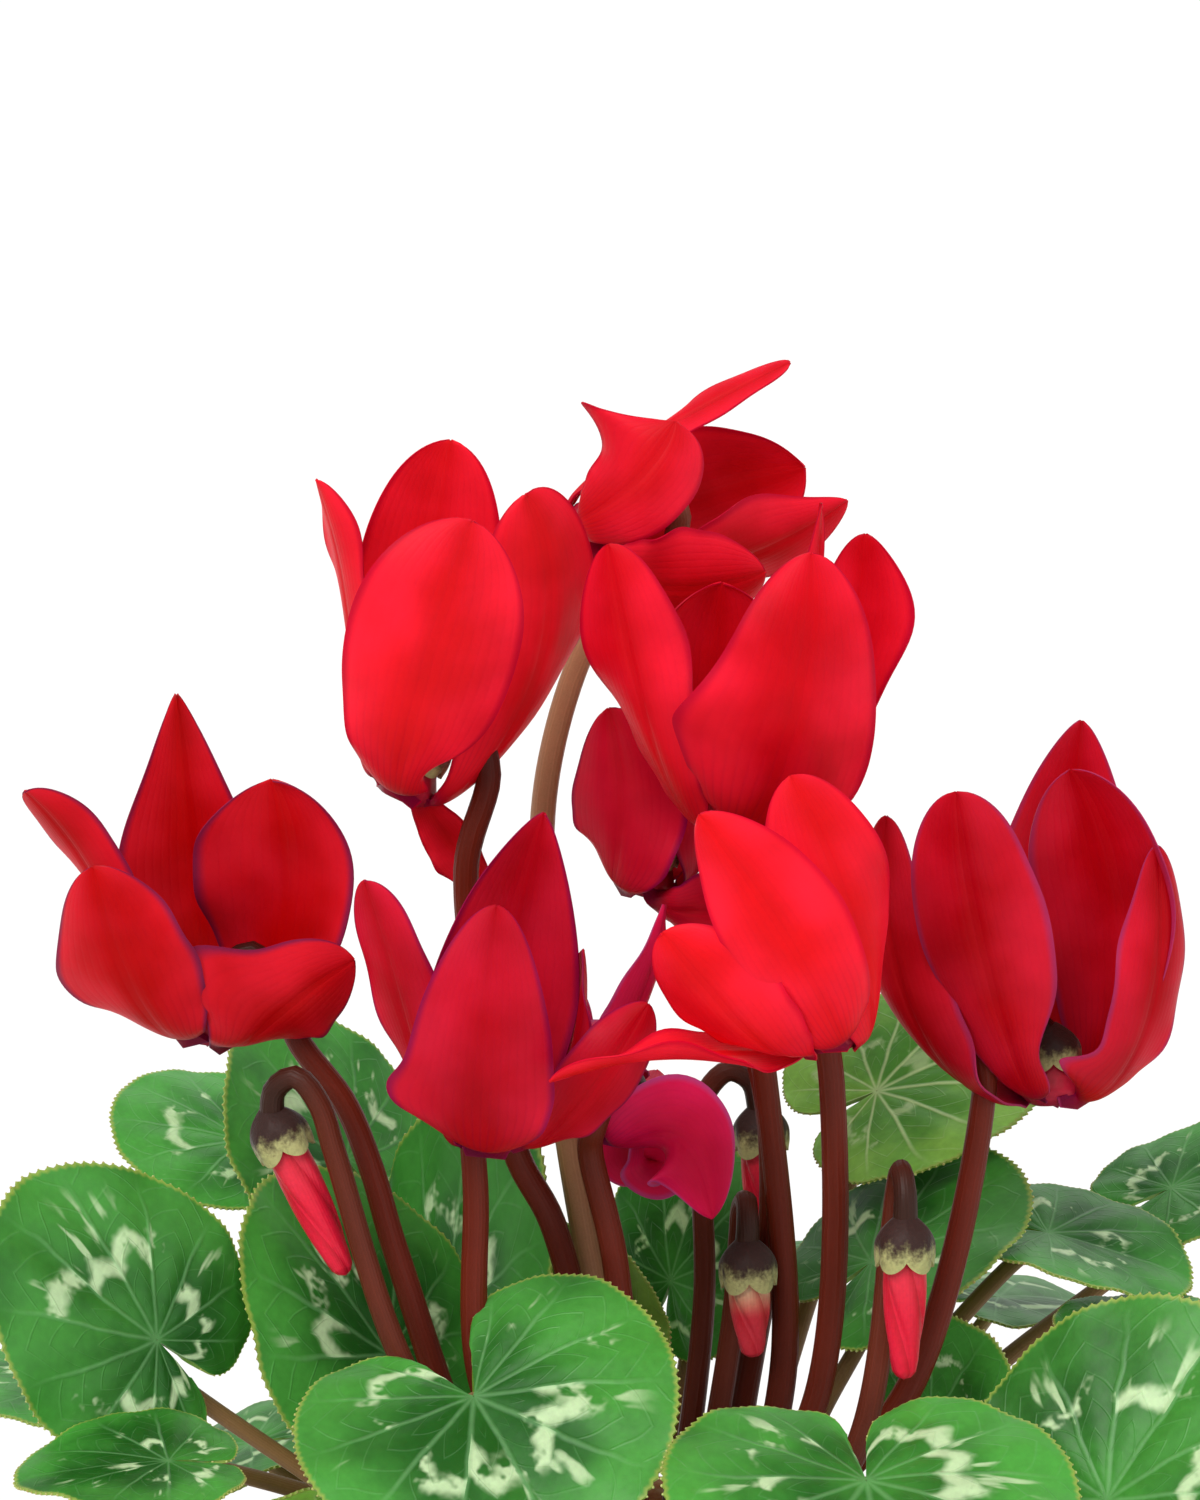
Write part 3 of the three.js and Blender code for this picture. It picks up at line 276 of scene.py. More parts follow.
LEAVES = {
    "leaf_far_left": leaf_at((-76, -35, 170), (-0.58, -0.4, 0.7), (0.7, -0.68, 0.2), 35, aspect=0.8,
                             via=(-38, -25, 133)),
    "leaf_left_back": leaf_at((-51, 54, 172), (-0.54, -0.08, 0.84), (0.72, -0.52, 0.43), 30, 1),
    "leaf_left_far_back": leaf_at((-69, 58, 174), (-0.9, -0.2, 0.3), (0.26, -0.35, 0.9), 24, 2,
                                  via=(-40, 41, 134)),
    "leaf_left": leaf_at((-41, -8, 158), (-0.52, -0.08, 0.85), (0.72, -0.57, 0.37), 35, aspect=0.88),
    "leaf_centre": leaf_at((-32.5, 21.5, 152), (0.07, 0.22, 0.97), (-0.8, -0.57, 0.16), 41, 1, aspect=0.83),
    "leaf_front": leaf_at((-26, -42, 163), (0.45, -0.8, -0.4), (-0.15, -0.45, 0.88), 36, aspect=1.05,
                          fold=0.25, sinus=0.4),
    "leaf_front_right": leaf_at((34, -60, 156), (0.08, -0.94, -0.33), (0.04, -0.33, 0.94), 37, aspect=1.08,
                                fold=0.2, wave=0.03),
    "leaf_right_front": leaf_at((72, -50, 149), (0.51, 0.19, 0.84), (-0.55, -0.68, 0.5), 34, 1, fold=0.2,
                                sinus=0.3),
    "leaf_right_back": leaf_at((41, 38, 189), (0.9, 0.1, 0.42), (-0.36, -0.43, 0.83), 30),
    "leaf_right_middle": leaf_at((39, 12, 167), (0.8, 0.13, 0.6), (-0.55, -0.28, 0.78), 29),
    "leaf_right": leaf_at((68, 12, 172), (0.98, -0.1, -0.19), (0.18, -0.2, 0.96), 25, aspect=0.85, fold=0.2),
    "leaf_far_right_high": leaf_at((92, 40, 171), (0.92, 0.21, 0.34), (-0.31, -0.3, 0.9), 25, aspect=0.85),
    "leaf_far_right": leaf_at((80, -6, 160), (1, 0.06, 0), (0.01, -0.2, 0.98), 24, aspect=0.85),
    "leaf_left_front": leaf_at((-53, -70, 146), (-0.15, -0.9, -0.4), (0.06, -0.41, 0.91), 22),
    "leaf_left_low": leaf_at((-72, -60, 159), (-0.97, -0.2, 0.05), (0.03, -0.14, 0.99), 23, fold=0.18,
                             aspect=0.8),
    "leaf_left_edge": leaf_at((-94, 2, 150), (-1, 0.1, 0.1), (0.1, -0.05, 0.99), 22, via=(-48, 6, 126)),
    "leaf_behind_middle": leaf_at((6, 36, 156), (0.26, 0.1, 0.95), (-0.6, -0.7, 0.3), 25, aspect=0.9),
    "leaf_behind_centre": leaf_at((-10, 32, 146), (-0.5, 0.1, 0.8), (0.2, 0.8, 0.3), 24),
    "leaf_under_left": leaf_at((-52, -8, 132), (-0.4, -0.8, 0.2), (0.3, -0.3, -0.9), 20, via=(-28, -8, 118)),
    "leaf_right_low": leaf_at((48, -6, 145), (0.3, -0.3, 0.8), (-0.6, -0.7, 0.3), 20),
    "leaf_back_right": leaf_at((64, 56, 146), (0.7, 0.7, -0.2), (0.3, 0.3, 0.9), 32),
    "leaf_back_middle": leaf_at((24, 66, 152), (0.2, 0.9, -0.2), (0, 0.4, 0.9), 34),
    "leaf_back_left": leaf_at((-34, 72, 142), (-0.4, 0.9, -0.2), (-0.1, 0.4, 0.9), 32),
    "leaf_low_left": leaf_at((-66, 28, 129), (-0.9, 0.3, -0.3), (-0.4, 0.1, 0.9), 30),
    "leaf_low_front": leaf_at((6, -60, 126), (-0.1, -0.85, -0.5), (0, -0.5, 0.85), 28),
    "leaf_low_right": leaf_at((72, -18, 130), (0.9, -0.3, -0.3), (0.3, -0.2, 0.9), 30),
}


# ---- Camera, light and floor -------------------------------------------------------------------
VIEW_ELEVATION = math.radians(12)
VIEW_DISTANCE = 750
VIEW_TARGET = np.array([-6.4, 0, 257])
LENS = 112.5
SENSOR_WIDTH = 36
NEAREST_SEEN = 10
FLOOR_WIDTH = 60000

STUDIO_GREY = (0.48, 0.48, 0.48)
WHITE = (1, 1, 1)

# Each lamp: where it shines from, its strength, its softness in degrees, and its colour.
LAMPS = {
    "key": ((-0.6, -1.0, 1.3), 2.2, 38, (1, 0.98, 0.95)),
    "fill": ((1.4, -1.1, 0.4), 0.6, 60, (0.96, 0.98, 1)),
    "back": ((0.3, 1.3, 1.0), 0.5, 50, WHITE),
}


def place_camera():
    """The photograph's viewpoint."""
    camera = bpy.data.objects.new("camera", bpy.data.cameras.new("camera"))
    bpy.context.scene.collection.objects.link(camera)
    back = np.array([0, -math.cos(VIEW_ELEVATION), math.sin(VIEW_ELEVATION)])
    camera.location = (VIEW_TARGET + VIEW_DISTANCE * back) * MM
    camera.rotation_euler = (math.pi / 2 - VIEW_ELEVATION, 0, 0)
    camera.data.lens = LENS
    camera.data.sensor_width = SENSOR_WIDTH
    camera.data.clip_start = NEAREST_SEEN * MM
    bpy.context.scene.camera = camera


def place_lamps():
    """Soft light from the upper left front, with a weak fill and a weak back light."""
    for name, (place, strength, softness, colour) in LAMPS.items():
        lamp = bpy.data.objects.new(name, bpy.data.lights.new(name, "SUN"))
        lamp.data.energy = strength
        lamp.data.angle = math.radians(softness)
        lamp.data.color = colour
        lamp.location = place
        lamp.rotation_euler = Vector(place).to_track_quat("Z", "Y").to_euler()
        bpy.context.scene.collection.objects.link(lamp)


def make_backdrop():
    """White where the camera sees it, and an even grey as light."""
    world = bpy.data.worlds.new("studio")
    world.use_nodes = True
    wire = Wire(world.node_tree)
    seen = wire.make("ShaderNodeLightPath", {}, {})
    feed(wire, world.node_tree.nodes["Background"], "Color", seen.blend(STUDIO_GREY, WHITE))
    bpy.context.scene.world = world
    bpy.context.scene.view_settings.view_transform = "Standard"


def lay_floor():
    """A plain pale floor, which isn't part of the object."""
    bpy.ops.mesh.primitive_plane_add(size=FLOOR_WIDTH * MM)
    floor = bpy.context.object
    floor.name = "floor"
    floor.data.materials.append(floor_paint())


# ---- Materials ---------------------------------------------------------------------------------
class Wire:
    """A socket in a material. Arithmetic on it adds Math nodes; make() adds any other node."""

    def __init__(self, tree, socket=None):
        self.tree = tree
        self.socket = socket

    def make(self, kind, settings, sockets, output=0):
        """A new node: its settings first, then the values or links of its sockets."""
        node = self.tree.nodes.new(kind)
        for key, value in settings.items():
            setattr(node, key, value)
        for key, value in sockets.items():
            if isinstance(value, Wire):
                self.tree.links.new(value.socket, node.inputs[key])
            elif isinstance(value, tuple) and len(value) == 3 and node.inputs[key].type == "RGBA":
                node.inputs[key].default_value = (*value, 1)
            else:
                node.inputs[key].default_value = value
        return Wire(self.tree, node.outputs[output])

    def maths(self, operation, first, second=0.0):
        """A Math node on one or two values."""
        return self.make("ShaderNodeMath", {"operation": operation}, {0: first, 1: second})

    def __add__(self, other):
        return self.maths("ADD", self, other)

    __radd__ = __add__

    def __sub__(self, other):
        return self.maths("SUBTRACT", self, other)

    def __rsub__(self, other):
        return self.maths("SUBTRACT", other, self)

    def __mul__(self, other):
        return self.maths("MULTIPLY", self, other)

    __rmul__ = __mul__

    def __pow__(self, other):
        return self.maths("POWER", self, other)

    def __abs__(self):
        return self.maths("ABSOLUTE", self)

    def part(self, operation):
        """The value's whole or broken part: ROUND, FLOOR or FRACT."""
        return self.maths(operation, self)

    def most(self, other):
        """The larger of two values."""
        return self.maths("MAXIMUM", self, other)

    def wave(self):
        """Sine of this value, from -1 to 1."""
        return self.maths("SINE", self)

    def stripes(self):
        """Sine of this value, moved to run from 0 to 1."""
        return self.wave() * 0.5 + 0.5

    def ease(self, low, high):
        """0 up to low and 1 from high on, with a soft step between them; low may be the larger."""
        settings = {"interpolation_type": "SMOOTHSTEP"}
        if low < high:
            return self.make("ShaderNodeMapRange", settings, {0: self, 1: low, 2: high})
        return 1 - self.make("ShaderNodeMapRange", settings, {0: self, 1: high, 2: low})

    def blend(self, first, second):
        """Two colours mixed by this value."""
        settings = {"data_type": "RGBA"}
        return self.make("ShaderNodeMix", settings, {0: self, 6: first, 7: second}, 2)

    def vector(self, y, z):
        """A vector of this value and two others."""
        return self.make("ShaderNodeCombineXYZ", {}, {0: self, 1: y, 2: z})

    def shade(self, colour):
        """A colour made darker or lighter by this value."""
        settings = {"operation": "MULTIPLY"}
        return self.make("ShaderNodeVectorMath", settings, {0: colour, 1: self.vector(self, self)})

    def split(self):
        """The X, Y and Z parts of a vector."""
        return [self.make("ShaderNodeSeparateXYZ", {}, {0: self}, i) for i in range(3)]

    def speckle(self, scale, detail=3.0, rough=0.55, distortion=0.0):
        """Noise at this place, from 0 to 1."""
        sockets = {"Vector": self, "Scale": scale, "Detail": detail, "Roughness": rough,
                   "Distortion": distortion}
        return self.make("ShaderNodeTexNoise", {}, sockets)


GLOW_DEPTH = 2.5


def new_finish(name, roughness, specular, sheen=0.0, glow=0.0, glow_reach=(1, 0.3, 0.15)):
    """A material, its Principled node and a wire to build its pattern from. The glow is light that
    scatters under the surface."""
    material = bpy.data.materials.new(name)
    material.use_nodes = True
    surface = material.node_tree.nodes["Principled BSDF"]
    surface.inputs["Roughness"].default_value = roughness
    surface.inputs["Specular IOR Level"].default_value = specular
    surface.inputs["Sheen Weight"].default_value = sheen
    surface.inputs["Sheen Roughness"].default_value = 0.4
    surface.inputs["Subsurface Weight"].default_value = glow
    surface.inputs["Subsurface Radius"].default_value = glow_reach
    surface.inputs["Subsurface Scale"].default_value = GLOW_DEPTH * MM
    return material, surface, Wire(material.node_tree)


def feed(wire, surface, key, value):
    """Links a pattern into one of the surface's sockets."""
    wire.tree.links.new(value.socket, surface.inputs[key])


def rough_up(wire, surface, height, strength, distance):
    """Bump from a height pattern; distance in millimetres."""
    sockets = {"Height": height, "Strength": strength, "Distance": distance * MM}
    feed(wire, surface, "Normal", wire.make("ShaderNodeBump", {}, sockets))


def place_of(wire):
    """The place on the plant, in millimetres."""
    spot = wire.make("ShaderNodeTexCoord", {}, {}, 3)
    settings = {"operation": "SCALE"}
    return wire.make("ShaderNodeVectorMath", settings, {0: spot, "Scale": 1 / MM})


def chart(wire, name):
    """The two coordinates of a map on the mesh."""
    across, along, _ = wire.make("ShaderNodeUVMap", {"uv_map": name}, {}).split()
    return across, along


PETAL_VEINS = 17
BUD_LINES = 40
STALK_FIBRES = 22


def petal_finish(name, body, throat, edge):
    """Velvety petal: wine throat, a painted pink highlight towards its edges and in patches, a rim that is
    partly its own purple and partly painted sheen, and fine veins along it."""
    # pale: the colour of the painted pink highlight.
    pale = (min(0.95, body[0] * 1.45 + 0.05), body[1] + 0.009, body[2] * 2 + 0.022)
    material, surface, wire = new_finish(name, 0.5, 0.07, glow=0.2)
    u, along = chart(wire, "petal")
    across = abs(u * 2 - 1)
    spot = place_of(wire)
    cloud = spot.speckle(0.07, 2)
    grain = spot.speckle(1.4, 3)
    sway = spot.speckle(0.12, 1) * 3
    veins = (u * (FULL_TURN * PETAL_VEINS) + sway).stripes() ** 4
    vein_show = (along.ease(0.62, 0.2) * 0.16 + 0.035) * across.ease(1.0, 0.7)
    bloom = spot.speckle(0.09, 2, 0.4)
    colour = (along + cloud * 0.2).ease(0.36, 0.1).blend(body, throat)
    # Painted highlight: paler pink towards the edges and in patches.
    colour = ((bloom * 1.4 + across * 0.8).ease(0.6, 1.6) * along.ease(0.1, 0.4) * 0.8).blend(colour, pale)
    # Rim: partly the petal's own purple margin, partly painted sheen.
    colour = (across.ease(0.87, 0.99) * 0.85).blend(colour, edge)
    colour = (veins * vein_show).blend(colour, throat)
    light = cloud * 0.6 + grain * 0.1 + 0.68
    feed(wire, surface, "Base Color", light.shade(colour))
    feed(wire, surface, "Roughness", grain * 0.14 + 0.36)
    rough_up(wire, surface, veins * 0.3 + grain * 0.5, 0.3, 0.2)
    return material


def throat_finish():
    """The corolla tube: red at its top and deep wine in its mouth."""
    material, surface, wire = new_finish("corolla_tube", 0.45, 0.2, glow=0.1)
    _, along = chart(wire, "tube")
    grain = place_of(wire).speckle(1.2, 3)
    colour = along.ease(0.35, 0.8).blend((0.42, 0.008, 0.03), (0.16, 0.0, 0.03))
    feed(wire, surface, "Base Color", (grain * 0.5 + 0.75).shade(colour))
    rough_up(wire, surface, grain, 0.3, 0.2)
    return material


def bud_finish(name, body, top):
    """Furled bud: another tint under the calyx, painted shade in its folds, with faint lines along them."""
    material, surface, wire = new_finish(name, 0.4, 0.22, glow=0.2)
    u, along = chart(wire, "tube")
    spot = place_of(wire)
    grain = spot.speckle(1.5, 3)
    lines = (u * (FULL_TURN * BUD_LINES) + along * 9).stripes() ** 3
    fold_shade_ramp = (u * BUD_FOLDS + along * BUD_TWIST).part("FRACT")
    colour = along.ease(0.45, 0.1).blend(body, top)
    # Painted shade: darker red in the crease of each fold.
    colour = (fold_shade_ramp.ease(0.35, 0.0) * 0.6).blend(colour, (0.5, 0.003, 0.015))
    colour = (lines * 0.1).blend(colour, (0.6, 0.01, 0.05))
    feed(wire, surface, "Base Color", (grain * 0.3 + 0.85).shade(colour))
    rough_up(wire, surface, lines * 0.4 + grain * 0.5, 0.3, 0.2)
    return material


def stalk_finish(name, low, high, hook):
    """Fleshy stalk: fine lengthwise fibres, a darker crook."""
    material, surface, wire = new_finish(name, 0.46, 0.18, glow=0.04, glow_reach=(1, 0.4, 0.2))
    u, along = chart(wire, "tube")
    spot = place_of(wire)
    cloud = spot.speckle(0.05, 2)
    grain = spot.speckle(2.2, 3)
    fibre = (u * (FULL_TURN * STALK_FIBRES) + spot.speckle(0.2, 2) * 6).stripes() ** 2
    colour = along.ease(0.1, 0.7).blend(low, high)
    colour = along.ease(0.86, 0.97).blend(colour, hook)
    light = cloud * 0.5 + grain * 0.25 + fibre * 0.12 + 0.52
    feed(wire, surface, "Base Color", light.shade(colour))
    feed(wire, surface, "Roughness", grain * 0.2 + 0.34)
    rough_up(wire, surface, fibre * 0.4 + grain * 0.6, 0.35, 0.25)
    return material


def calyx_finish():
    """Sepals: brown-black hood that fades in blotches to pale olive lobes."""
    material, surface, wire = new_finish("calyx", 0.55, 0.25, sheen=0.1, glow=0.05)
    u, along = chart(wire, "tube")
    spot = place_of(wire)
    grain = spot.speckle(1.8, 4)
    cloud = spot.speckle(0.5, 2)
    rib = abs((u * (SEPALS * math.pi)).wave())
    dark = (along * 1.25 - rib * 0.12 + (cloud - 0.5) * 0.5 + (grain - 0.5) * 0.3).ease(0.72, 0.34)
    colour = dark.blend((0.42, 0.4, 0.17), (0.035, 0.013, 0.01))
    feed(wire, surface, "Base Color", (grain * 0.7 + 0.65).shade(colour))
    rough_up(wire, surface, grain, 0.45, 0.3)
    return material


def leaf_veins(ring, turn, lot, patch):
    """Main veins that fan out from the petiole, side veins that branch from them, and the share of
    the way from the nearest main vein."""
    from_vein = abs(turn - turn.part("ROUND"))
    reach = from_vein * ring * VEIN_STEP
    main_vein = reach.ease(0.022, 0.002) * ring.ease(1.02, 0.5)
    step = ((ring - from_vein * 0.34) * 6.5 + lot * 3 + patch).part("FRACT")
    side_vein = abs(step - 0.5).ease(0.08, 0.0) * from_vein.ease(0.02, 0.1) * ring.ease(0.15, 0.3)
    return main_vein, side_vein, from_vein


def leaf_silver(ring, from_vein, patch, blotch, radial, spread):
    """Silver marks: a broken arc halfway out, thin fingers beyond it, and flecks."""
    arch = ring - from_vein * 0.16 + patch * 0.7 + spread * 0.4 + blotch * 0.22
    arc = abs(arch - 0.5).ease(0.09, 0.02) * (spread * 1.2 + blotch * 2.4 + radial * 0.7).ease(-0.1, 0.12)
    outer = ring.ease(0.46, 0.56) * ring.ease(0.93, 0.7)
    finger = (radial * 2.8 + blotch * 0.5 + spread * 0.9).ease(0.4, 0.66) * outer
    fleck = (blotch * 2.2 + radial * 1.2).ease(0.72, 0.86) * ring.ease(0.3, 0.45) * ring.ease(0.97, 0.9)
    return (arc * 0.92).most(finger * 0.75).most(fleck * 0.6)


def leaf_finish(name, deep, mid, silver, vein, rim, marbled=1.0, veined=0.34):
    """Leaf blade: green that deepens round the middle and in patches, silver marks, paler veins and a
    yellowish rim."""
    material, surface, wire = new_finish(name, 0.4, 0.36, glow=0.05, glow_reach=(0.4, 1, 0.2))
    ring, bearing = chart(wire, "ring")
    x, y = chart(wire, "blade")
    lot, _ = chart(wire, "lot")
    # Noise over the blade, and noise drawn out along its rays. Both differ from leaf to leaf.
    flat = x.vector(y, lot * 7)
    blotch = flat.speckle(11, 3, 0.6) - 0.5
    patch = flat.speckle(3.2, 2) - 0.5
    grain = flat.speckle(60, 3)
    radial = (bearing * 46).vector(ring * 2.2, lot * 9).speckle(1, 2, 0.5) - 0.5
    # Bearing in steps of a main vein, a little bent, and one random value for each gap between two.
    turn = (bearing - 0.5) * (FULL_TURN / VEIN_STEP) + (flat.speckle(5, 2) - 0.5) * 0.5
    spread = (turn.part("FLOOR") * 5.3).vector(lot * 11, 0.5).speckle(1, 0) - 0.5
    main_vein, side_vein, from_vein = leaf_veins(ring, turn, lot, patch)
    marks = leaf_silver(ring, from_vein, patch, blotch, radial, spread) * marbled
    around = abs(ring - 0.4).ease(0.5, 0.0)
    dark = (around * 0.35 + patch * 2.6 + blotch * 0.7).ease(-0.35, 0.75)
    colour = (lot * 0.3 + 0.85).shade(dark.blend(mid, deep))
    colour = marks.blend(colour, silver)
    colour = (main_vein * veined).most(side_vein * 0.1).blend(colour, vein)
    colour = ring.ease(0.97, 0.998).blend(colour, rim)
    feed(wire, surface, "Base Color", (grain * 0.4 + 0.8).shade(colour))
    feed(wire, surface, "Roughness", grain * 0.16 + blotch * 0.12 + 0.36)
    relief = grain * 0.18 - main_vein * 0.7 - side_vein * 0.3 + blotch * 0.9
    rough_up(wire, surface, relief, 0.5, 0.35)
    return material


def bead_finish():
    """The small beads of the leaf's teeth."""
    material, surface, wire = new_finish("leaf_teeth", 0.45, 0.4, glow=0.1)
    spot = place_of(wire)
    colour = spot.speckle(0.25, 2).ease(0.35, 0.7).blend((0.5, 0.56, 0.18), (0.42, 0.34, 0.1))
    feed(wire, surface, "Base Color", colour)
    return material


def clay_finish():
    """Fired clay: mottled orange-brown with pale lime bloom and fine turning lines."""
    material, surface, wire = new_finish("clay", 0.86, 0.25)
    spot = place_of(wire)
    _, _, height = spot.split()
    mottle = spot.speckle(0.035, 4, 0.6)
    grit = spot.speckle(1.1, 4, 0.7)
    lime = spot.speckle(0.055, 5, 0.7, 0.6)
    lines = (height * 2.6 + spot.speckle(0.03, 2) * 5).stripes() * 0.25
    colour = mottle.ease(0.3, 0.7).blend((0.42, 0.135, 0.062), (0.55, 0.2, 0.1))
    colour = (lime.ease(0.56, 0.74) * 0.5).blend(colour, (0.66, 0.46, 0.36))
    colour = (height.ease(30, 0) * 0.35).blend(colour, (0.3, 0.13, 0.08))
    feed(wire, surface, "Base Color", (grit * 0.45 + 0.77).shade(colour))
    feed(wire, surface, "Roughness", grit * 0.2 + 0.74)
    rough_up(wire, surface, grit * 0.8 + lines, 0.5, 0.3)
    return material


def soil_finish():
    """Damp peat: dark clods flecked with paler grit."""
    material, surface, wire = new_finish("peat", 0.95, 0.2)
    spot = place_of(wire)
    clod = spot.speckle(0.35, 5, 0.7)
    grit = spot.speckle(2.0, 4, 0.75)
    colour = clod.ease(0.3, 0.7).blend((0.018, 0.011, 0.007), (0.075, 0.045, 0.026))
    colour = (grit.ease(0.66, 0.74) * 0.5).blend(colour, (0.2, 0.13, 0.07))
    feed(wire, surface, "Base Color", colour)
    rough_up(wire, surface, clod + grit * 0.6, 0.8, 0.9)
    return material


def tuber_finish():
    """Corky tuber skin."""
    material, surface, wire = new_finish("cork_skin", 0.85, 0.25)
    spot = place_of(wire)
    cork = spot.speckle(0.22, 5, 0.7, 0.4)
    grit = spot.speckle(1.5, 4, 0.7)
    colour = cork.ease(0.35, 0.7).blend((0.06, 0.035, 0.022), (0.19, 0.115, 0.07))
    feed(wire, surface, "Base Color", (grit * 0.6 + 0.7).shade(colour))
    rough_up(wire, surface, cork + grit * 0.5, 0.8, 0.8)
    return material


def floor_paint():
    """Matt pale floor."""
    material, surface, wire = new_finish("pale_floor", 0.9, 0.1)
    cloud = place_of(wire).speckle(0.01, 2)
    feed(wire, surface, "Base Color", cloud.blend((0.93, 0.93, 0.93), (0.96, 0.96, 0.96)))
    return material


# ---- Shapes ------------------------------------------------------------------------------------
def unit(v):
    """A direction, or an array of directions, made one long."""
    v = np.asarray(v, float)
    return v / np.maximum(np.linalg.norm(v, axis=-1, keepdims=True), 1e-12)


def soft_step(x, low, high):
    """0 up to low and 1 from high on, with a soft step between them."""
    t = np.clip((x - low) / (high - low), 0, 1)
    return t * t * (3 - 2 * t)


def cross_axes(axis):
    """Two directions at right angles to an axis and to each other."""
    side = unit(np.cross((1, 0, 0), axis))
    return side, np.cross(axis, side)


def bearings(sides):
    """Angles evenly round a circle."""
    return FULL_TURN * np.arange(sides) / sides


def spokes(angle, side, other):
    """The directions at some angles round a circle through two axes."""
    return np.cos(angle)[:, None] * side + np.sin(angle)[:, None] * other


def level_ring(radius, height, angle):
    """Points at one height round the upright axis."""
    return np.stack([radius * np.cos(angle), radius * np.sin(angle), np.full(len(angle), height)], axis=1)


def lumps(place, kinds):
    """How far rounded lumps stand out at a place; each kind has a height and a closeness."""
    return sum(height * noise.noise(Vector(place) * closeness) for height, closeness in kinds)


def smooth_path(points, count, steps=24):
    """Evenly spaced places on the smooth curve through some points."""
    p = np.array(points, float)
    p = np.vstack([2 * p[0] - p[1], p, 2 * p[-1] - p[-2]])
    t = np.linspace(0, 1, steps, endpoint=False)[:, None]
    stretches = []
    for a, b, c, d in zip(p, p[1:], p[2:], p[3:]):
        # Slopes weighed by the lengths of the stretches, so that a short one doesn't loop.
        ab, bc, cd = (math.sqrt(np.linalg.norm(q)) for q in (b - a, c - b, d - c))
        out = ((b - a) / ab - (c - a) / (ab + bc) + (c - b) / bc) * bc
        into = ((c - b) / bc - (d - b) / (bc + cd) + (d - c) / cd) * bc
        square = 3 * c - 3 * b - 2 * out - into
        cube = 2 * b - 2 * c + out + into
        stretches.append(b + out * t + square * t**2 + cube * t**3)
    fine = np.vstack([*stretches, p[-2]])
    run = np.concatenate([[0], np.cumsum(np.linalg.norm(np.diff(fine, axis=0), axis=1))])
    at = np.linspace(0, run[-1], count)
    return np.stack([np.interp(at, run, fine[:, k]) for k in range(3)], axis=1)


class Skin:
    """Vertices, faces, maps and material numbers of one piece, gathered before its mesh is made."""

    def __init__(self):
        self.points = []
        self.faces = []
        self.paints = []
        self.maps = {}
        self.count = 0

    def add(self, points, faces, paint=0, **maps):
        """points: N×3 millimetres; faces: lists of vertex numbers; paint: one material number, or one
        for each face; maps: name to N×2."""
        points = np.asarray(points, float).reshape(-1, 3)
        for name, values in maps.items():
            layer = self.maps.setdefault(name, [])
            missing = self.count - sum(len(v) for v in layer)
            if missing:
                layer.append(np.zeros((missing, 2)))
            layer.append(np.asarray(values, float).reshape(-1, 2))
        self.faces.extend(tuple(int(i) + self.count for i in face) for face in faces)
        self.paints.extend([paint] * len(faces) if isinstance(paint, int) else paint)
        self.points.append(points)
        self.count += len(points)

    def make(self, name, paints, slot, node, sharp=50):
        """The piece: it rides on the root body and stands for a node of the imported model. Its edges
        are sharp where they turn by more than an angle in degrees."""
        mesh = bpy.data.meshes.new(name)
        mesh.from_pydata((np.vstack(self.points) * MM).tolist(), [], self.faces)
        corner = np.zeros(len(mesh.loops), np.int32)
        mesh.loops.foreach_get("vertex_index", corner)
        for key, layer in self.maps.items():
            values = np.vstack(layer)
            values = np.vstack([values, np.zeros((self.count - len(values), 2))])
            chart_layer = mesh.uv_layers.new(name=key)
            chart_layer.uv.foreach_set("vector", values[corner].astype(np.float32).ravel())
        for paint in paints:
            mesh.materials.append(paint)
        mesh.polygons.foreach_set("material_index", np.array(self.paints, np.int32))
        mesh.shade_smooth()
        mesh.set_sharp_from_angle(angle=math.radians(sharp))
        mesh.update()
        piece = bpy.data.objects.new(name, mesh)
        bpy.context.scene.collection.objects.link(piece)
        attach(piece, "root")
        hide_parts(node)
        return piece


def grid_faces(rows, columns, start=0, flip=False):
    """Quads over a grid of vertices numbered row by row."""
    r, c = np.meshgrid(np.arange(rows - 1), np.arange(columns - 1), indexing="ij")
    a = (r * columns + c).ravel() + start
    quads = np.stack([a, a + 1, a + columns + 1, a + columns], axis=1)
    return (quads[:, ::-1] if flip else quads).tolist()


def add_sheet(skin, grid, thickness, paints=(0, 0), **maps):
    """A thin closed sheet: the grid's surface moved half its thickness to both sides."""
    rows, columns = grid.shape[:2]
    down = np.gradient(grid, axis=0)
    across = np.gradient(grid, axis=1)
    normal = unit(np.cross(across, down))
    half = normal * (thickness[..., None] / 2)
    size = rows * columns
    number = np.arange(size).reshape(rows, columns)
    edge = np.concatenate([number[0, :], number[1:, -1], number[-1, -2::-1], number[-2:0:-1, 0]])
    after = np.roll(edge, -1)
    rim = np.stack([edge, edge + size, after + size, after], axis=1).tolist()
    top = grid_faces(rows, columns, flip=True)
    under = grid_faces(rows, columns, size)
    points = np.concatenate([(grid + half).reshape(-1, 3), (grid - half).reshape(-1, 3)])
    doubled = {key: np.concatenate([v.reshape(-1, 2)] * 2) for key, v in maps.items()}
    paint = [paints[0]] * len(top) + [paints[1]] * len(under) + [paints[0]] * len(rim)
    skin.add(points, top + under + rim, paint, **doubled)


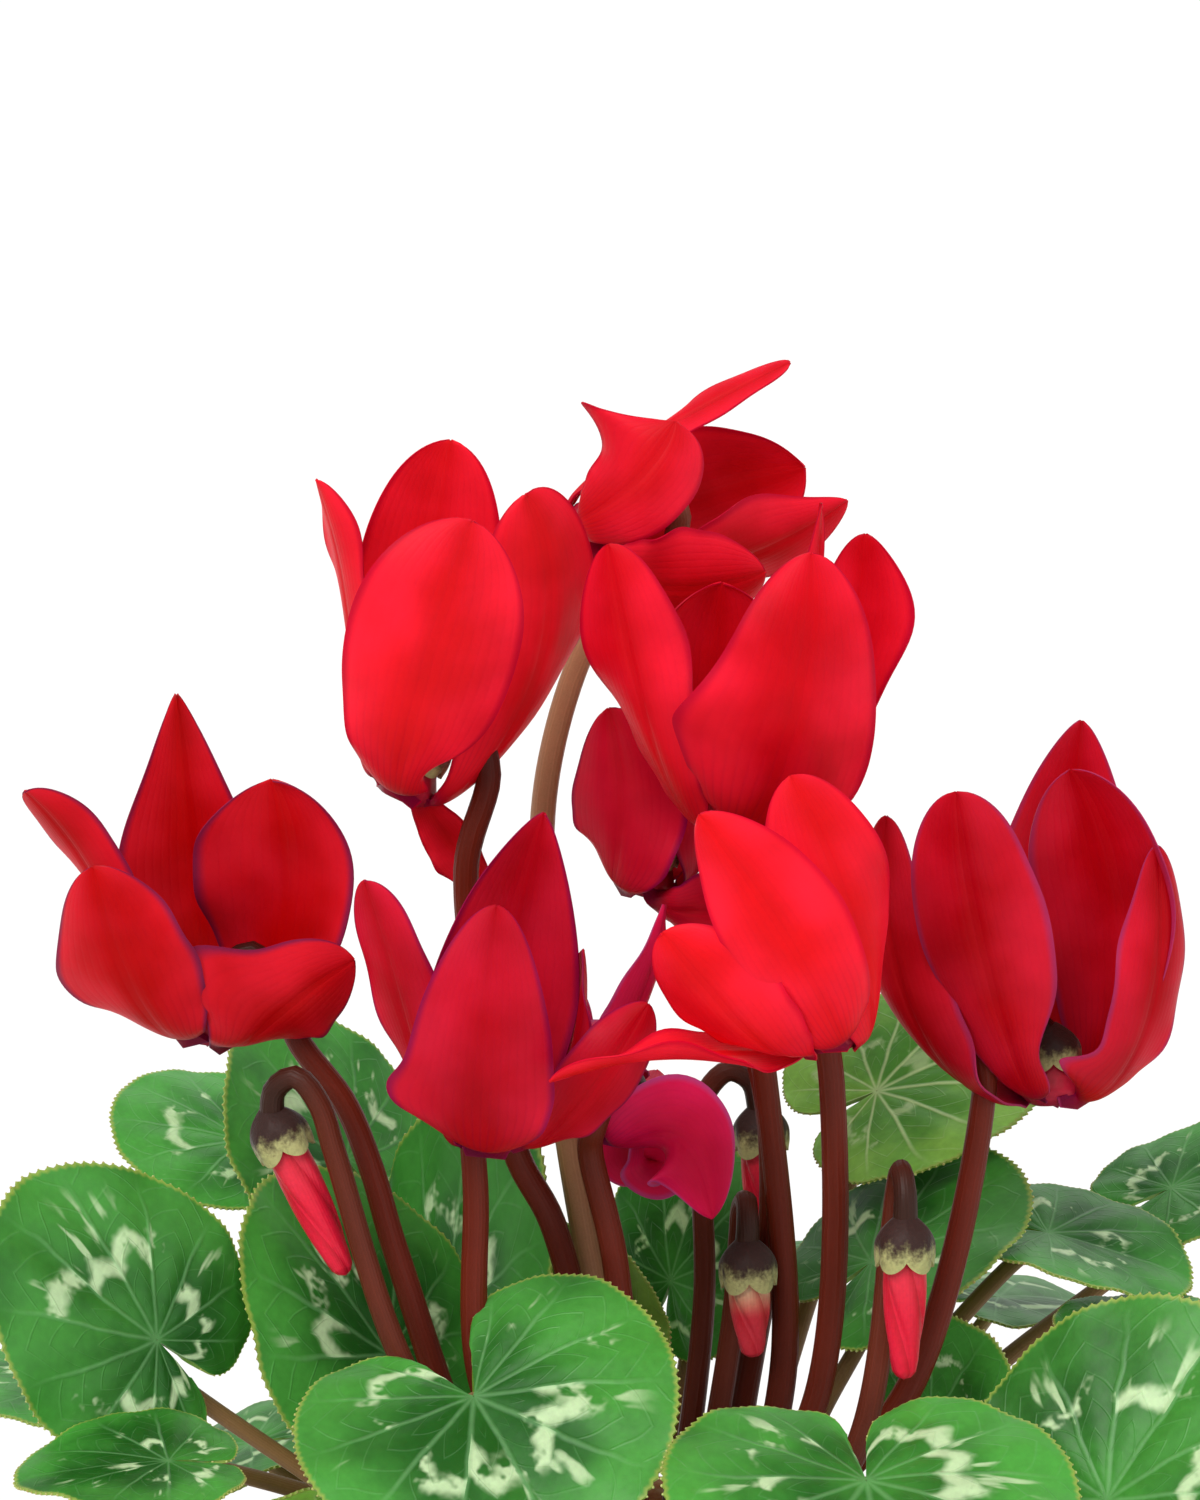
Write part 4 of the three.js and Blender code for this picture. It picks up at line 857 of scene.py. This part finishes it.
def add_rings(skin, rings, paint=0):
    """A closed skin over rings of equally many points, shut by a fan at each end. Its map holds the
    share of the way round and the share of the way along."""
    rows, columns = rings.shape[:2]
    u, v = np.meshgrid(np.arange(columns) / columns, np.linspace(0, 1, rows))
    maps = np.stack([u, v], axis=2)
    points = np.vstack([rings.reshape(-1, 3), rings[0].mean(0), rings[-1].mean(0)])
    values = np.vstack([maps.reshape(-1, 2), maps[0].mean(0), maps[-1].mean(0)])
    faces = []
    for r in range(rows - 1):
        for c in range(columns):
            a, b = r * columns + c, r * columns + (c + 1) % columns
            faces.append((a, b, b + columns, a + columns))
    first = rows * columns
    last_row = (rows - 1) * columns
    for c in range(columns):
        d = (c + 1) % columns
        faces.append((first, d, c))
        faces.append((first + 1, last_row + c, last_row + d))
    skin.add(points, faces, paint, tube=values)


def add_tube(skin, path, radius, sides=14, uneven=0.0, seed=0.0):
    """A round stalk along a path, with a radius for each of its places."""
    along = unit(np.gradient(path, axis=0))
    side = cross_axes(along[0])[0]
    angle = bearings(sides)
    rings = []
    for place, direction, r in zip(path, along, np.broadcast_to(radius, len(path))):
        side = unit(side - direction * (side @ direction))
        other = np.cross(direction, side)
        r = r * (1 + uneven * np.sin(2 * angle + seed + 0.05 * place[2]))
        rings.append(place + r[:, None] * spokes(angle, side, other))
    add_rings(skin, np.array(rings))


def bead(centre, radius):
    """A small round bead, as points and faces."""
    made = bmesh.new()
    bmesh.ops.create_icosphere(made, subdivisions=1, radius=radius)
    points = np.array([v.co for v in made.verts]) + centre
    faces = [[v.index for v in f.verts] for f in made.faces]
    made.free()
    return points, faces


# ---- Roots of the stalks on the crown ----------------------------------------------------------
STEEP_LEAF = 2.6
SPREAD_ROUNDS = 300
FOOT_RISE = 8
FOOT_LEAN = 0.1


def list_stalks():
    """Each stalk's name, its ring on the crown and the place it makes for. A leaf that stands low for
    its distance from the middle grows from the outer ring."""
    stalks = []
    for name, bloom in BLOOMS.items():
        stalks.append([name, bloom.get("ring", "bloom"), bloom["stalk"][-1]])
    for name, bud in BUDS.items():
        stalks.append([name, bud["ring"], bud["stalk"][-1]])
    for name, leaf in LEAVES.items():
        x, y, z = leaf["at"]
        ring = "leaf_outer" if z / math.hypot(x - CROWN_X, y) < STEEP_LEAF else "leaf_inner"
        stalks.append([name, ring, (x, y)])
    return stalks


def spread_out(members, room):
    """Moves the bearings of crowded neighbours on a ring apart, until each has its room."""
    for _ in range(SPREAD_ROUNDS):
        for i, member in enumerate(members):
            after = members[(i + 1) % len(members)]
            gap = after[1] - member[1] + (FULL_TURN if after is members[0] else 0)
            if gap < room:
                member[1] -= (room - gap) / 2
                after[1] += (room - gap) / 2


def find_roots():
    """Where each stalk stands: in rings on the crown, near its own side of the plant."""
    stalks = list_stalks()
    roots = {}
    for ring, (radius, room) in CROWN_RINGS.items():
        members = []
        for name, kind, goal in stalks:
            if kind == ring:
                members.append([name, math.atan2(goal[1], goal[0] - CROWN_X)])
        members.sort(key=lambda member: member[1])
        spread_out(members, 2 * math.asin(room / 2 / radius))
        dome = TUBER_HALF_HEIGHT * math.sqrt(1 - (radius / TUBER_RADIUS) ** 2)
        for name, bearing in members:
            roots[name] = np.array([CROWN_X + radius * math.cos(bearing), radius * math.sin(bearing),
                                    TUBER_CENTRE + dome - ROOT_DEPTH])
    return roots


def stalk_start(root, passes):
    """A stalk's first places: its root, a foot above the crown that leans a little on its way, and
    the places it passes, from the lowest up."""
    foot = mix(root + (0, 0, ROOT_DEPTH + FOOT_RISE), passes[-1], FOOT_LEAN)
    return [root, foot, *passes[::-1]]


# ---- Bloom -------------------------------------------------------------------------------------
PETAL_ROWS = 56
PETAL_COLUMNS = 25

# A petal starts a little way up the tube, and runs down and out before it turns back.
PETAL_START = 2
FOLD_DROP = 4.5
FOLD_OUT = 4

# Heights of a petal's waves: long ones and short ones along its edges, and those of its whole face.
EDGE_ROLL = 0.9
EDGE_FRILL = 0.45
FACE_WAVE = 0.35
CORNER_REACH = 0.13  # how far a corner reaches along the edge, as a share of the petal's length

TUBE_ROWS = 40
TUBE_SIDES = 30
CALYX_SIDES = 60
CALYX_ROWS = 18
CALYX_INNER_ROWS = 7
HOOD_RISE = 2.2
STALK_ROWS = 90


def petal_share(t, point, foot, widest):
    """Width of a petal along its length, as a share of its full width."""
    opening = foot + (1 - foot) * soft_step(t, -0.04, widest)
    past = np.clip((t - widest) / (1 - widest), 0, 1)
    blunt = np.sqrt(np.maximum(0, 1 - past**2.6))
    sharp = 1 - past**1.4
    return np.where(t < widest, opening, mix(blunt, sharp, point))


def petal_roots(petals, axis):
    """The ways in which the petals leave the mouth: evenly round it, each near its own belly."""
    side, other = cross_axes(axis)
    wished = [math.atan2(np.dot(p["belly"], other), np.dot(p["belly"], side)) for p in petals]
    order = sorted(range(len(petals)), key=lambda i: wished[i])
    step = FULL_TURN / len(petals)
    shift = sum(wished[i] - rank * step for rank, i in enumerate(order)) / len(petals)
    turned = [shift + order.index(i) * step for i in range(len(petals))]
    return [side * math.cos(a) + other * math.sin(a) for a in turned]


def petal_midline(t, start, fold, belly, tip):
    """Places and directions along the middle of a petal."""
    s = 1 - t
    centre = s**3 * start + 3 * s**2 * t * fold + 3 * s * t**2 * belly + t**3 * tip
    along = unit(3 * s**2 * (fold - start) + 6 * s * t * (belly - fold) + 3 * t**2 * (tip - belly))
    return centre, along


def petal_edge(t, u, half, lively, phase, corner):
    """How far each place stands to the side of the midline: a little wavy, with a corner if there is
    one."""
    edge = u * half * (1 + 0.03 * np.sin(9 * t + phase) * lively)
    if corner:
        side, place, size = corner
        edge = edge * (1 + size * np.maximum(side * u, 0) * np.exp(-(((t - place) / CORNER_REACH) ** 2)))
    return edge


def petal_lift(t, u, half, lively, phase):
    """How far each place stands off the petal's plane: cupped, rolled and frilled at the edges, with
    a crease down the middle."""
    lift = -PETAL_CUP * 2 * half * u**2
    lift = lift + EDGE_ROLL * lively * np.abs(u) ** 3 * np.sin(11 * t + phase[0] + np.sign(u) * phase[1])
    lift = lift + EDGE_FRILL * lively * np.abs(u) ** 4 * np.sin(26 * t + phase[2] + np.sign(u) * phase[3])
    lift = lift + FACE_WAVE * lively * np.sin(2.6 * u + phase[4] + 3 * t)
    return lift - FACE_WAVE * lively * np.exp(-(u / 0.1) ** 2)


def add_petal(skin, nose, axis, shape, out, seed):
    """One reflexed petal: from the mouth down and out, back past its belly and up to its tip."""
    t = (1 - (1 - np.linspace(0, 0.9985, PETAL_ROWS)) ** 1.5)[:, None]
    u = np.linspace(-1, 1, PETAL_COLUMNS)[None, :]
    start = nose + out * MOUTH_RADIUS - axis * PETAL_START
    fold = start + axis * FOLD_DROP + out * FOLD_OUT
    centre, along = petal_midline(t, start, fold, nose + shape["belly"], nose + shape["tip"])
    turn = soft_step(t, 0.1, 0.95)
    looks = mix(out, unit(shape["face"]), turn) + axis * 0.6 * (1 - turn)
    across = unit(np.cross(along, looks))
    normal = unit(np.cross(across, along))
    share = petal_share(t, shape["point"], shape["foot"], shape["widest"])
    half = (shape["width"] / 2) * np.maximum(share, 0.02)
    phase = np.random.default_rng(seed).uniform(0, FULL_TURN, 6)
    lively = soft_step(t, 0.12, 0.5) * (1 - 0.6 * soft_step(t, 0.8, 1))
    edge = petal_edge(t, u, half, lively, phase[5], shape["corner"])
    lift = petal_lift(t, u, half, lively, phase)
    grid = centre[:, None, :] + across[:, None, :] * edge[..., None] + normal[:, None, :] * lift[..., None]
    thin = PETAL_THICKNESS * mix(1.0, 0.45, np.abs(u) ** 3) * mix(1.0, 0.5, t)
    add_sheet(skin, grid, thin, petal=np.stack(np.broadcast_arrays(u * 0.5 + 0.5, t), axis=2))


def add_corolla_tube(skin, nose, axis):
    """Short bulging tube that the petals grow from, hollowed a little at its mouth."""
    outline = np.array([
        (-TUBE_LENGTH - 0.6, 1.6), (-TUBE_LENGTH, TUBE_TOP_RADIUS - 0.2), (-5, TUBE_TOP_RADIUS + 0.6),
        (-2.6, MOUTH_RADIUS + 0.5), (-1, MOUTH_RADIUS + 0.2), (0.2, MOUTH_RADIUS - 1.0),
        (0.2, MOUTH_RADIUS - 1.8), (-0.8, MOUTH_RADIUS - 2.6), (-2.4, 1.0),
    ])
    run = np.linspace(0, len(outline) - 1, TUBE_ROWS)
    down, radius = (np.interp(run, np.arange(len(outline)), outline[:, k]) for k in range(2))
    angle = bearings(TUBE_SIDES)
    pleat = 1 + 0.05 * np.cos(5 * angle)
    rim = spokes(angle, *cross_axes(axis))
    add_rings(skin, nose + axis * down[:, None, None] + (radius[:, None] * pleat)[..., None] * rim, paint=1)


def calyx_rings(top, axis, radius, length):
    """Five blunt sepals grown into a hood: outer skin down, inner skin back up."""
    angle = bearings(CALYX_SIDES)
    lobe = np.abs((angle * SEPALS / FULL_TURN) % 1 * 2 - 1)
    crest = np.sin(lobe * math.pi / 2)
    deep = mix(0.72, 1.0, crest**0.8)
    rim = spokes(angle, *cross_axes(axis))
    rings = []
    for share in np.linspace(0, 1, CALYX_ROWS):
        bulge = 0.24 + 0.76 * math.sin(min(1, share * 1.6) * math.pi / 2) ** 0.9
        bulge = bulge * mix(1, 0.95, soft_step(share, 0.75, 1))
        swell = 1 - 0.09 * (1 - crest) * soft_step(share, 0.15, 0.6)
        down = -HOOD_RISE + (deep * length + HOOD_RISE) * share
        rings.append(top + axis * down[:, None] + ((radius + 0.5) * bulge * swell)[:, None] * rim)
    lip = rings[-1]
    for share in np.linspace(1, 0.35, CALYX_INNER_ROWS):
        lift = (1 - share) * (deep * length)[:, None]
        rings.append(lip - axis * lift - rim * (0.45 + 0.3 * (1 - share)))
    return np.array(rings)


def bloom_path(root, bloom, axis):
    """A bloom's stalk, from its root in the crown up and over the crook to the calyx."""
    top = np.array(bloom["nose"], float) - axis * (TUBE_LENGTH + CALYX_NECK)
    passes = [np.array(p, float) for p in bloom["stalk"]]
    away = passes[0] - top
    away = unit(away - axis * (away @ axis))
    # The crook is above the calyx and the bend beside it, on the side that the stalk comes from.
    crook = top - axis * 4.5 + away * HOOK * 0.8
    bend = top + away * HOOK * 1.7 + axis
    return [*stalk_start(root, passes), bend, crook, top]


def make_stalk(name, points, radius, calyx_radius, calyx_length, axis, paint, calyx_paint):
    """A stem along its places, thickest at its foot, and the calyx at its end."""
    path = smooth_path(points, STALK_ROWS)
    share = np.linspace(0, 1, len(path))
    taper = radius * (mix(1.2, 0.98, share) + 0.15 * soft_step(share, 0.93, 1.0))
    stalk = Skin()
    add_tube(stalk, path, taper, uneven=0.03, seed=points[0][0])
    stalk.make(name + "_stem", [paint], "stalk", name)
    calyx = Skin()
    add_rings(calyx, calyx_rings(path[-1], axis, calyx_radius, calyx_length))
    calyx.make(name + "_calyx", [calyx_paint], "stalk", name)


# Colour of each bloom's petals, and of their rims: painted light and shade, lit blooms brighter, shaded ones
# darker.
# The rim colours are partly the petals' own purple margin and partly painted sheen.
BLOOM_COLOURS_LIT_AND_SHADED = {
    "bloom_left": ((0.42, 0.0, 0.001), (0.11, 0.008, 0.05)),
    "bloom_upper_left": ((0.62, 0.004, 0.008), (0.45, 0.0, 0.02)),
    "bloom_front": ((0.38, 0.0, 0.006), (0.2, 0.002, 0.05)),
    "bloom_middle": ((0.48, 0.002, 0.035), (0.42, 0.05, 0.2)),
    "bloom_right_of_middle": ((0.7, 0.004, 0.008), (0.6, 0.0, 0.02)),
    "bloom_high": ((0.54, 0.001, 0.006), (0.4, 0.0, 0.02)),
    "bloom_behind": ((0.46, 0.001, 0.012), (0.2, 0.0, 0.06)),
    "bloom_top": ((0.56, 0.003, 0.008), (0.4, 0.0, 0.02)),
    "bloom_right": ((0.38, 0.0, 0.004), (0.3, 0.02, 0.09)),
}


def make_bloom(name, bloom, seed, root, throat_paint, stalk_paint, calyx_paint):
    """Five petals and their tube as one corolla, on its hooked stalk."""
    axis = unit(bloom["mouth"])
    nose = np.array(bloom["nose"], float)
    # body: the bloom's red with its painted light and shade; edge: its rim colour, partly painted sheen.
    body, edge = BLOOM_COLOURS_LIT_AND_SHADED[name]
    throat = (body[0] * 0.35, 0.0, 0.02 + body[2])
    petal_paint = petal_finish(name + "_petals", body, throat, edge)
    skin = Skin()
    outs = petal_roots(bloom["petals"], axis)
    for k, shape in enumerate(bloom["petals"]):
        add_petal(skin, nose, axis, shape, outs[k], seed + k)
    add_corolla_tube(skin, nose, axis)
    skin.make(name + "_corolla", [petal_paint, throat_paint], "petal", name)
    make_stalk(name + "_stalk", bloom_path(root, bloom, axis), STALK_RADIUS,
               TUBE_TOP_RADIUS + CLEARANCE + 0.9, CALYX_LENGTH, axis, stalk_paint, calyx_paint)


def make_blooms(roots, calyx_paint):
    """All the open blooms; the highest has a paler stalk."""
    red_stalk = stalk_finish("stalk_red", (0.1, 0.012, 0.004), (0.14, 0.014, 0.005), (0.035, 0.006, 0.004))
    pale_stalk = stalk_finish("stalk_pale", (0.3, 0.14, 0.07), (0.5, 0.26, 0.13), (0.3, 0.1, 0.06))
    throat_paint = throat_finish()
    for number, (name, bloom) in enumerate(BLOOMS.items()):
        stalk_paint = pale_stalk if name == "bloom_top" else red_stalk
        make_bloom(name, bloom, 10 * number, roots[name], throat_paint, stalk_paint, calyx_paint)


# ---- Bud ---------------------------------------------------------------------------------------
BUD_ROWS = 44
BUD_SIDES = 72
BUD_CALYX_RADIUS = 4.4

# A bud's outline: shares of the way to its tip, and the radius there.
BUD_PLACES = (0, 0.12, 0.3, 0.5, 0.7, 0.85, 0.94, 0.98, 1)
BUD_RADII = (2.6, 3.5, 3.5, 3.2, 2.75, 2.35, 1.9, 1.2, 0.15)

PALE_BUDS = ("bud_middle", "bud_low")


def bud_rings(start, end, axis):
    """Petals furled round each other into a slim cone."""
    t = 1 - (1 - np.linspace(0, 1, BUD_ROWS)) ** 1.3
    radius = np.interp(t, BUD_PLACES, BUD_RADII)
    angle = bearings(BUD_SIDES)
    spiral = (BUD_FOLDS * angle[None, :] / FULL_TURN + BUD_TWIST * t[:, None]) % 1
    fold = 0.86 + 0.2 * spiral**0.8 * (1 - spiral**10)
    rim = spokes(angle, *cross_axes(axis))
    length = np.linalg.norm(end - start)
    return start + axis * (t * length)[:, None, None] + (radius[:, None] * fold)[..., None] * rim


def make_buds(roots, calyx_paint):
    """All the furled buds; the lowest two are paler under the calyx."""
    bud_stalk = stalk_finish("stalk_bud", (0.085, 0.012, 0.005), (0.13, 0.022, 0.01), (0.04, 0.013, 0.008))
    rosy = bud_finish("bud_rosy", (0.78, 0.012, 0.045), (0.74, 0.03, 0.06))
    pale = bud_finish("bud_pale", (0.62, 0.03, 0.05), (0.75, 0.5, 0.3))
    for name, bud in BUDS.items():
        calyx = np.array(bud["calyx"], float)
        end = np.array(bud["tip"], float)
        axis = unit(end - calyx)
        skin = Skin()
        add_rings(skin, bud_rings(calyx + axis * CALYX_NECK, end, axis))
        skin.make(name + "_petals", [pale if name in PALE_BUDS else rosy], "bud", name)
        passes = [np.array(p, float) for p in bud["stalk"]]
        points = [*stalk_start(roots[name], passes), *bud["crook"], calyx]
        make_stalk(name + "_stalk", points, BUD_STALK_RADIUS, BUD_CALYX_RADIUS, CALYX_LENGTH + 1, axis,
                   bud_stalk, calyx_paint)


# ---- Leaf --------------------------------------------------------------------------------------
TEETH = 116
TOOTH_STEPS = 2
TOOTH_DEPTH = 0.0065
BLADE_RINGS = 30
PUFF_HEIGHT = 0.022
RIPPLE_HEIGHT = 0.012

# A petiole stands straight at its foot, arches a little where it has no place to pass, comes to the
# blade from below and from the side away from the tip, and ends just behind it.
PETIOLE_ROWS = 60
PETIOLE_FOOT = 6
PETIOLE_ARCH = 5
PETIOLE_DROP = 7
PETIOLE_BACK = 5
PETIOLE_END = 0.6

YOUNG_LEAVES = ("leaf_right_back", "leaf_under_left", "leaf_behind_centre")


def leaf_reach(angle, sinus):
    """The heart-shaped margin's distance from the petiole, with two lobes beside the sinus."""
    share = np.abs(angle) / (math.pi - sinus)
    heart = 0.78 + 0.2 * np.cos(angle) + 0.02 * np.cos(3 * angle)
    lobe = np.sqrt(np.maximum(0, 1 - share**9))
    return LOBE_END + (heart - LOBE_END) * lobe


def blade_height(leaf, angle, share, reach, y, phase):
    """Height of the blade over its plane: folded along the midrib, drooping and waving outwards,
    puffed up between the veins and rippled towards the margin."""
    crease = np.sqrt(y**2 + 0.0006) - 0.024
    height = leaf["fold"] * crease - LEAF_DROOP * reach**2
    height = height + leaf["wave"] * reach**2 * np.sin(3 * angle + leaf["turn"])
    puff = np.sin(math.pi * angle / VEIN_STEP) ** 2 * share * (1 - share**3)
    ripple = soft_step(share, 0.55, 1) * np.sin(8 * angle + phase[0])
    ripple = ripple + 0.5 * soft_step(share, 0.9, 1.0) * np.sin(17 * angle + phase[1])
    return height + PUFF_HEIGHT * puff + RIPPLE_HEIGHT * ripple


def make_blade(name, leaf, number, paints):
    """A leaf's blade, in rings round the petiole, with a small bead on each tooth of its margin."""
    tip = unit(leaf["tip"])
    face = np.array(leaf["face"], float)
    face = unit(face - tip * (face @ tip))
    side = np.cross(face, tip)
    at = np.array(leaf["at"], float)
    draw = np.random.default_rng(400 + number)
    phase = draw.uniform(0, FULL_TURN, 4)
    columns = TEETH * TOOTH_STEPS + 1
    angle = np.linspace(-1, 1, columns)[None, :] * (math.pi - leaf["sinus"])
    share = (1 - (1 - np.linspace(0.004, 1, BLADE_RINGS)) ** 1.35)[:, None]
    tooth = np.cos(FULL_TURN * np.arange(columns) / TOOTH_STEPS)[None, :]
    reach = leaf_reach(angle, leaf["sinus"]) * share * (1 + TOOTH_DEPTH * tooth * soft_step(share, 0.9, 1.0))
    x = reach * np.cos(angle)
    y = leaf["aspect"] * reach * np.sin(angle)
    height = blade_height(leaf, angle, share, reach, y, phase)
    grid = at + leaf["size"] * (x[..., None] * tip + y[..., None] * side + height[..., None] * face)
    thin = LEAF_THICKNESS * mix(1.0, 0.5, share**3) * np.ones_like(angle)
    ring_map = np.stack(np.broadcast_arrays(share, angle / FULL_TURN + 0.5), axis=2)
    blade_map = np.stack([0.5 + 0.4 * x, 0.5 + 0.4 * y], axis=2)
    lot_map = np.zeros_like(blade_map)
    lot_map[...] = draw.uniform(0, 1, 2)
    skin = Skin()
    add_sheet(skin, grid, thin, (1, 0), ring=ring_map, blade=blade_map, lot=lot_map)
    for c in range(0, columns, TOOTH_STEPS):
        points, faces = bead(grid[-1, c], draw.uniform(0.16, 0.28))
        skin.add(points, faces, 2)
    skin.make(name + "_blade", paints, "leaf", name)


def make_petiole(name, leaf, root, number, paint):
    """A leaf's stalk, from its root in the crown up and round to the back of the blade."""
    looks = unit(leaf["face"])
    below = np.array(leaf["at"], float) - looks * PETIOLE_END
    arrive = below - looks * PETIOLE_DROP - unit(leaf["tip"]) * PETIOLE_BACK
    foot = root + (0, 0, ROOT_DEPTH + PETIOLE_FOOT)
    middle = mix(foot, arrive, 0.5) + (0, 0, PETIOLE_ARCH)
    via = np.array(leaf["via"], float) if leaf["via"] else middle
    path = smooth_path([root, foot, via, arrive, below], PETIOLE_ROWS)
    taper = PETIOLE_RADIUS * mix(1.15, 0.9, np.linspace(0, 1, len(path)))
    petiole = Skin()
    add_tube(petiole, path, taper, sides=12, uneven=0.05, seed=number)
    petiole.make(name + "_petiole", [paint], "leaf", name)


def make_leaves(roots):
    """All the leaves; the young ones are paler above."""
    silver, vein, rim = (0.55, 0.75, 0.42), (0.22, 0.5, 0.2), (0.26, 0.38, 0.06)
    upper = leaf_finish("leaf_upper", (0.006, 0.095, 0.004), (0.055, 0.3, 0.035), silver, vein, rim)
    under = leaf_finish("leaf_underside", (0.12, 0.27, 0.03), (0.19, 0.36, 0.05), (0.3, 0.46, 0.16),
                        (0.3, 0.42, 0.12), rim, marbled=0.35)
    young = leaf_finish("leaf_young", (0.06, 0.26, 0.012), (0.25, 0.56, 0.07), (0.6, 0.8, 0.4),
                        (0.55, 0.76, 0.34), rim, marbled=0.5, veined=0.7)
    teeth = bead_finish()
    petiole = stalk_finish("petiole", (0.16, 0.05, 0.02), (0.2, 0.11, 0.04), (0.24, 0.16, 0.06))
    for number, (name, leaf) in enumerate(LEAVES.items()):
        above = young if name in YOUNG_LEAVES else upper
        make_blade(name, leaf, number, [above, under, teeth])
        make_petiole(name, leaf, roots[name], number, petiole)


# ---- Pot, soil and tuber -----------------------------------------------------------------------
POT_SIDES = 144
POT_ROUNDING = 1.8
SOIL_SIDES = 120
SOIL_ROWS = 34
SOIL_LUMPS = ((1.6, 0.12), (0.8, 0.45))
SOIL_EDGE_FALL = 1.6
CRUMBS = 900
TUBER_SIDES = 110
TUBER_ROWS = 60
TUBER_LUMPS = ((0.9, 4), (0.5, 11))


def rounded(profile, radius, steps=5):
    """A closed outline with its corners rounded, apart from those on the axis."""
    profile = [np.array(p, float) for p in profile]
    made = []
    for i, corner in enumerate(profile):
        before, after = profile[i - 1], profile[(i + 1) % len(profile)]
        if corner[0] < 1e-6:
            made.append(corner)
            continue
        cut = min(radius, 0.45 * np.linalg.norm(before - corner), 0.45 * np.linalg.norm(after - corner))
        a, b = corner + unit(before - corner) * cut, corner + unit(after - corner) * cut
        for t in np.linspace(0, 1, steps):
            made.append((1 - t) ** 2 * a + 2 * t * (1 - t) * corner + t**2 * b)
    return np.array(made)


def drill_holes(pot):
    """Drain holes through the pot's floor."""
    for k in range(DRAIN_HOLES):
        a = FULL_TURN * k / DRAIN_HOLES + 0.5
        bpy.ops.mesh.primitive_cylinder_add(vertices=40, radius=DRAIN_RADIUS * MM, depth=20 * MM)
        drill = bpy.context.object
        drill.location = (DRAIN_RING * math.cos(a) * MM, DRAIN_RING * math.sin(a) * MM, 0)
        cut = pot.modifiers.new("hole", "BOOLEAN")
        cut.operation = "DIFFERENCE"
        cut.solver = "EXACT"
        cut.object = drill
        bpy.context.view_layer.objects.active = pot
        bpy.ops.object.modifier_apply(modifier=cut.name)
        bpy.data.objects.remove(drill)


def make_pot():
    """A collared clay pot."""
    body_top = POT_HEIGHT - RIM_BAND
    inner = POT_WALL + 1
    body_radius = mix(POT_FOOT, POT_MOUTH - RIM_STEP, body_top / POT_HEIGHT)
    profile = rounded([
        (0, inner), (POT_FOOT - POT_WALL, inner), (POT_MOUTH - POT_WALL - 0.5, POT_HEIGHT),
        (POT_MOUTH, POT_HEIGHT), (body_radius + RIM_STEP, body_top), (body_radius, body_top),
        (POT_FOOT, 0), (0, 0),
    ], POT_ROUNDING)
    angle = bearings(POT_SIDES)
    skin = Skin()
    add_rings(skin, np.array([level_ring(radius, height, angle) for radius, height in profile[1:-1]]))
    drill_holes(skin.make("pot_body", [clay_finish()], "clay", "pot", sharp=35))


def make_soil():
    """Peat filling the pot to its level, lumpy on top, with small crumbs."""
    floor = POT_WALL + 1 + CLEARANCE
    slope = (POT_MOUTH - POT_WALL - 1 - (POT_FOOT - POT_WALL)) / (POT_HEIGHT - 2.5 - POT_WALL)

    def inner_at(z):
        return POT_FOOT - POT_WALL + slope * (z - floor) - 2 * CLEARANCE

    angle = bearings(SOIL_SIDES)
    reach = inner_at(SOIL_TOP - 2)
    rings = []
    for share in np.linspace(0.01, 1, SOIL_ROWS):
        ring = level_ring(share * reach, SOIL_TOP + 1.0, angle)
        for p in ring:
            p[2] += lumps(p, SOIL_LUMPS) - SOIL_EDGE_FALL * share**6
        rings.append(ring)
    for z in (SOIL_TOP - 6, 50, floor):
        rings.append(level_ring(inner_at(z), z, angle))
    skin = Skin()
    add_rings(skin, np.array(rings[::-1]))
    draw = np.random.default_rng(77)
    for _ in range(CRUMBS):
        r = reach * math.sqrt(draw.uniform(0.05, 0.94))
        a = draw.uniform(0, FULL_TURN)
        spot = np.array([r * math.cos(a), r * math.sin(a), SOIL_TOP + 0.7])
        points, faces = bead(spot, 1.0)
        scale = draw.uniform(0.5, 1.5) * draw.uniform(0.7, 1.3, 3)
        skin.add(spot + (points - spot) * scale, faces)
    skin.make("soil_peat", [soil_finish()], "soil", "soil")


def make_tuber():
    """Flattened round tuber with a knobbly corky skin."""
    size = (TUBER_RADIUS - 0.8, TUBER_RADIUS - 0.8, TUBER_HALF_HEIGHT - 0.4)
    angle = bearings(TUBER_SIDES)
    rings = []
    for polar in np.linspace(math.pi - 0.02, 0.02, TUBER_ROWS):
        direction = level_ring(math.sin(polar), math.cos(polar), angle)
        knobs = np.array([lumps(d, TUBER_LUMPS) for d in direction])
        rings.append(direction * size * (1 + knobs[:, None] * 0.03) + (CROWN_X, 0, TUBER_CENTRE))
    skin = Skin()
    add_rings(skin, np.array(rings))
    skin.make("tuber_body", [tuber_finish()], "tuber_bark", "tuber")


# ---- The whole plant ---------------------------------------------------------------------------
place_camera()
place_lamps()
make_backdrop()
lay_floor()

all_roots = find_roots()
sepal_paint = calyx_finish()
make_blooms(all_roots, sepal_paint)
make_buds(all_roots, sepal_paint)
make_leaves(all_roots)
make_pot()
make_soil()
make_tuber()
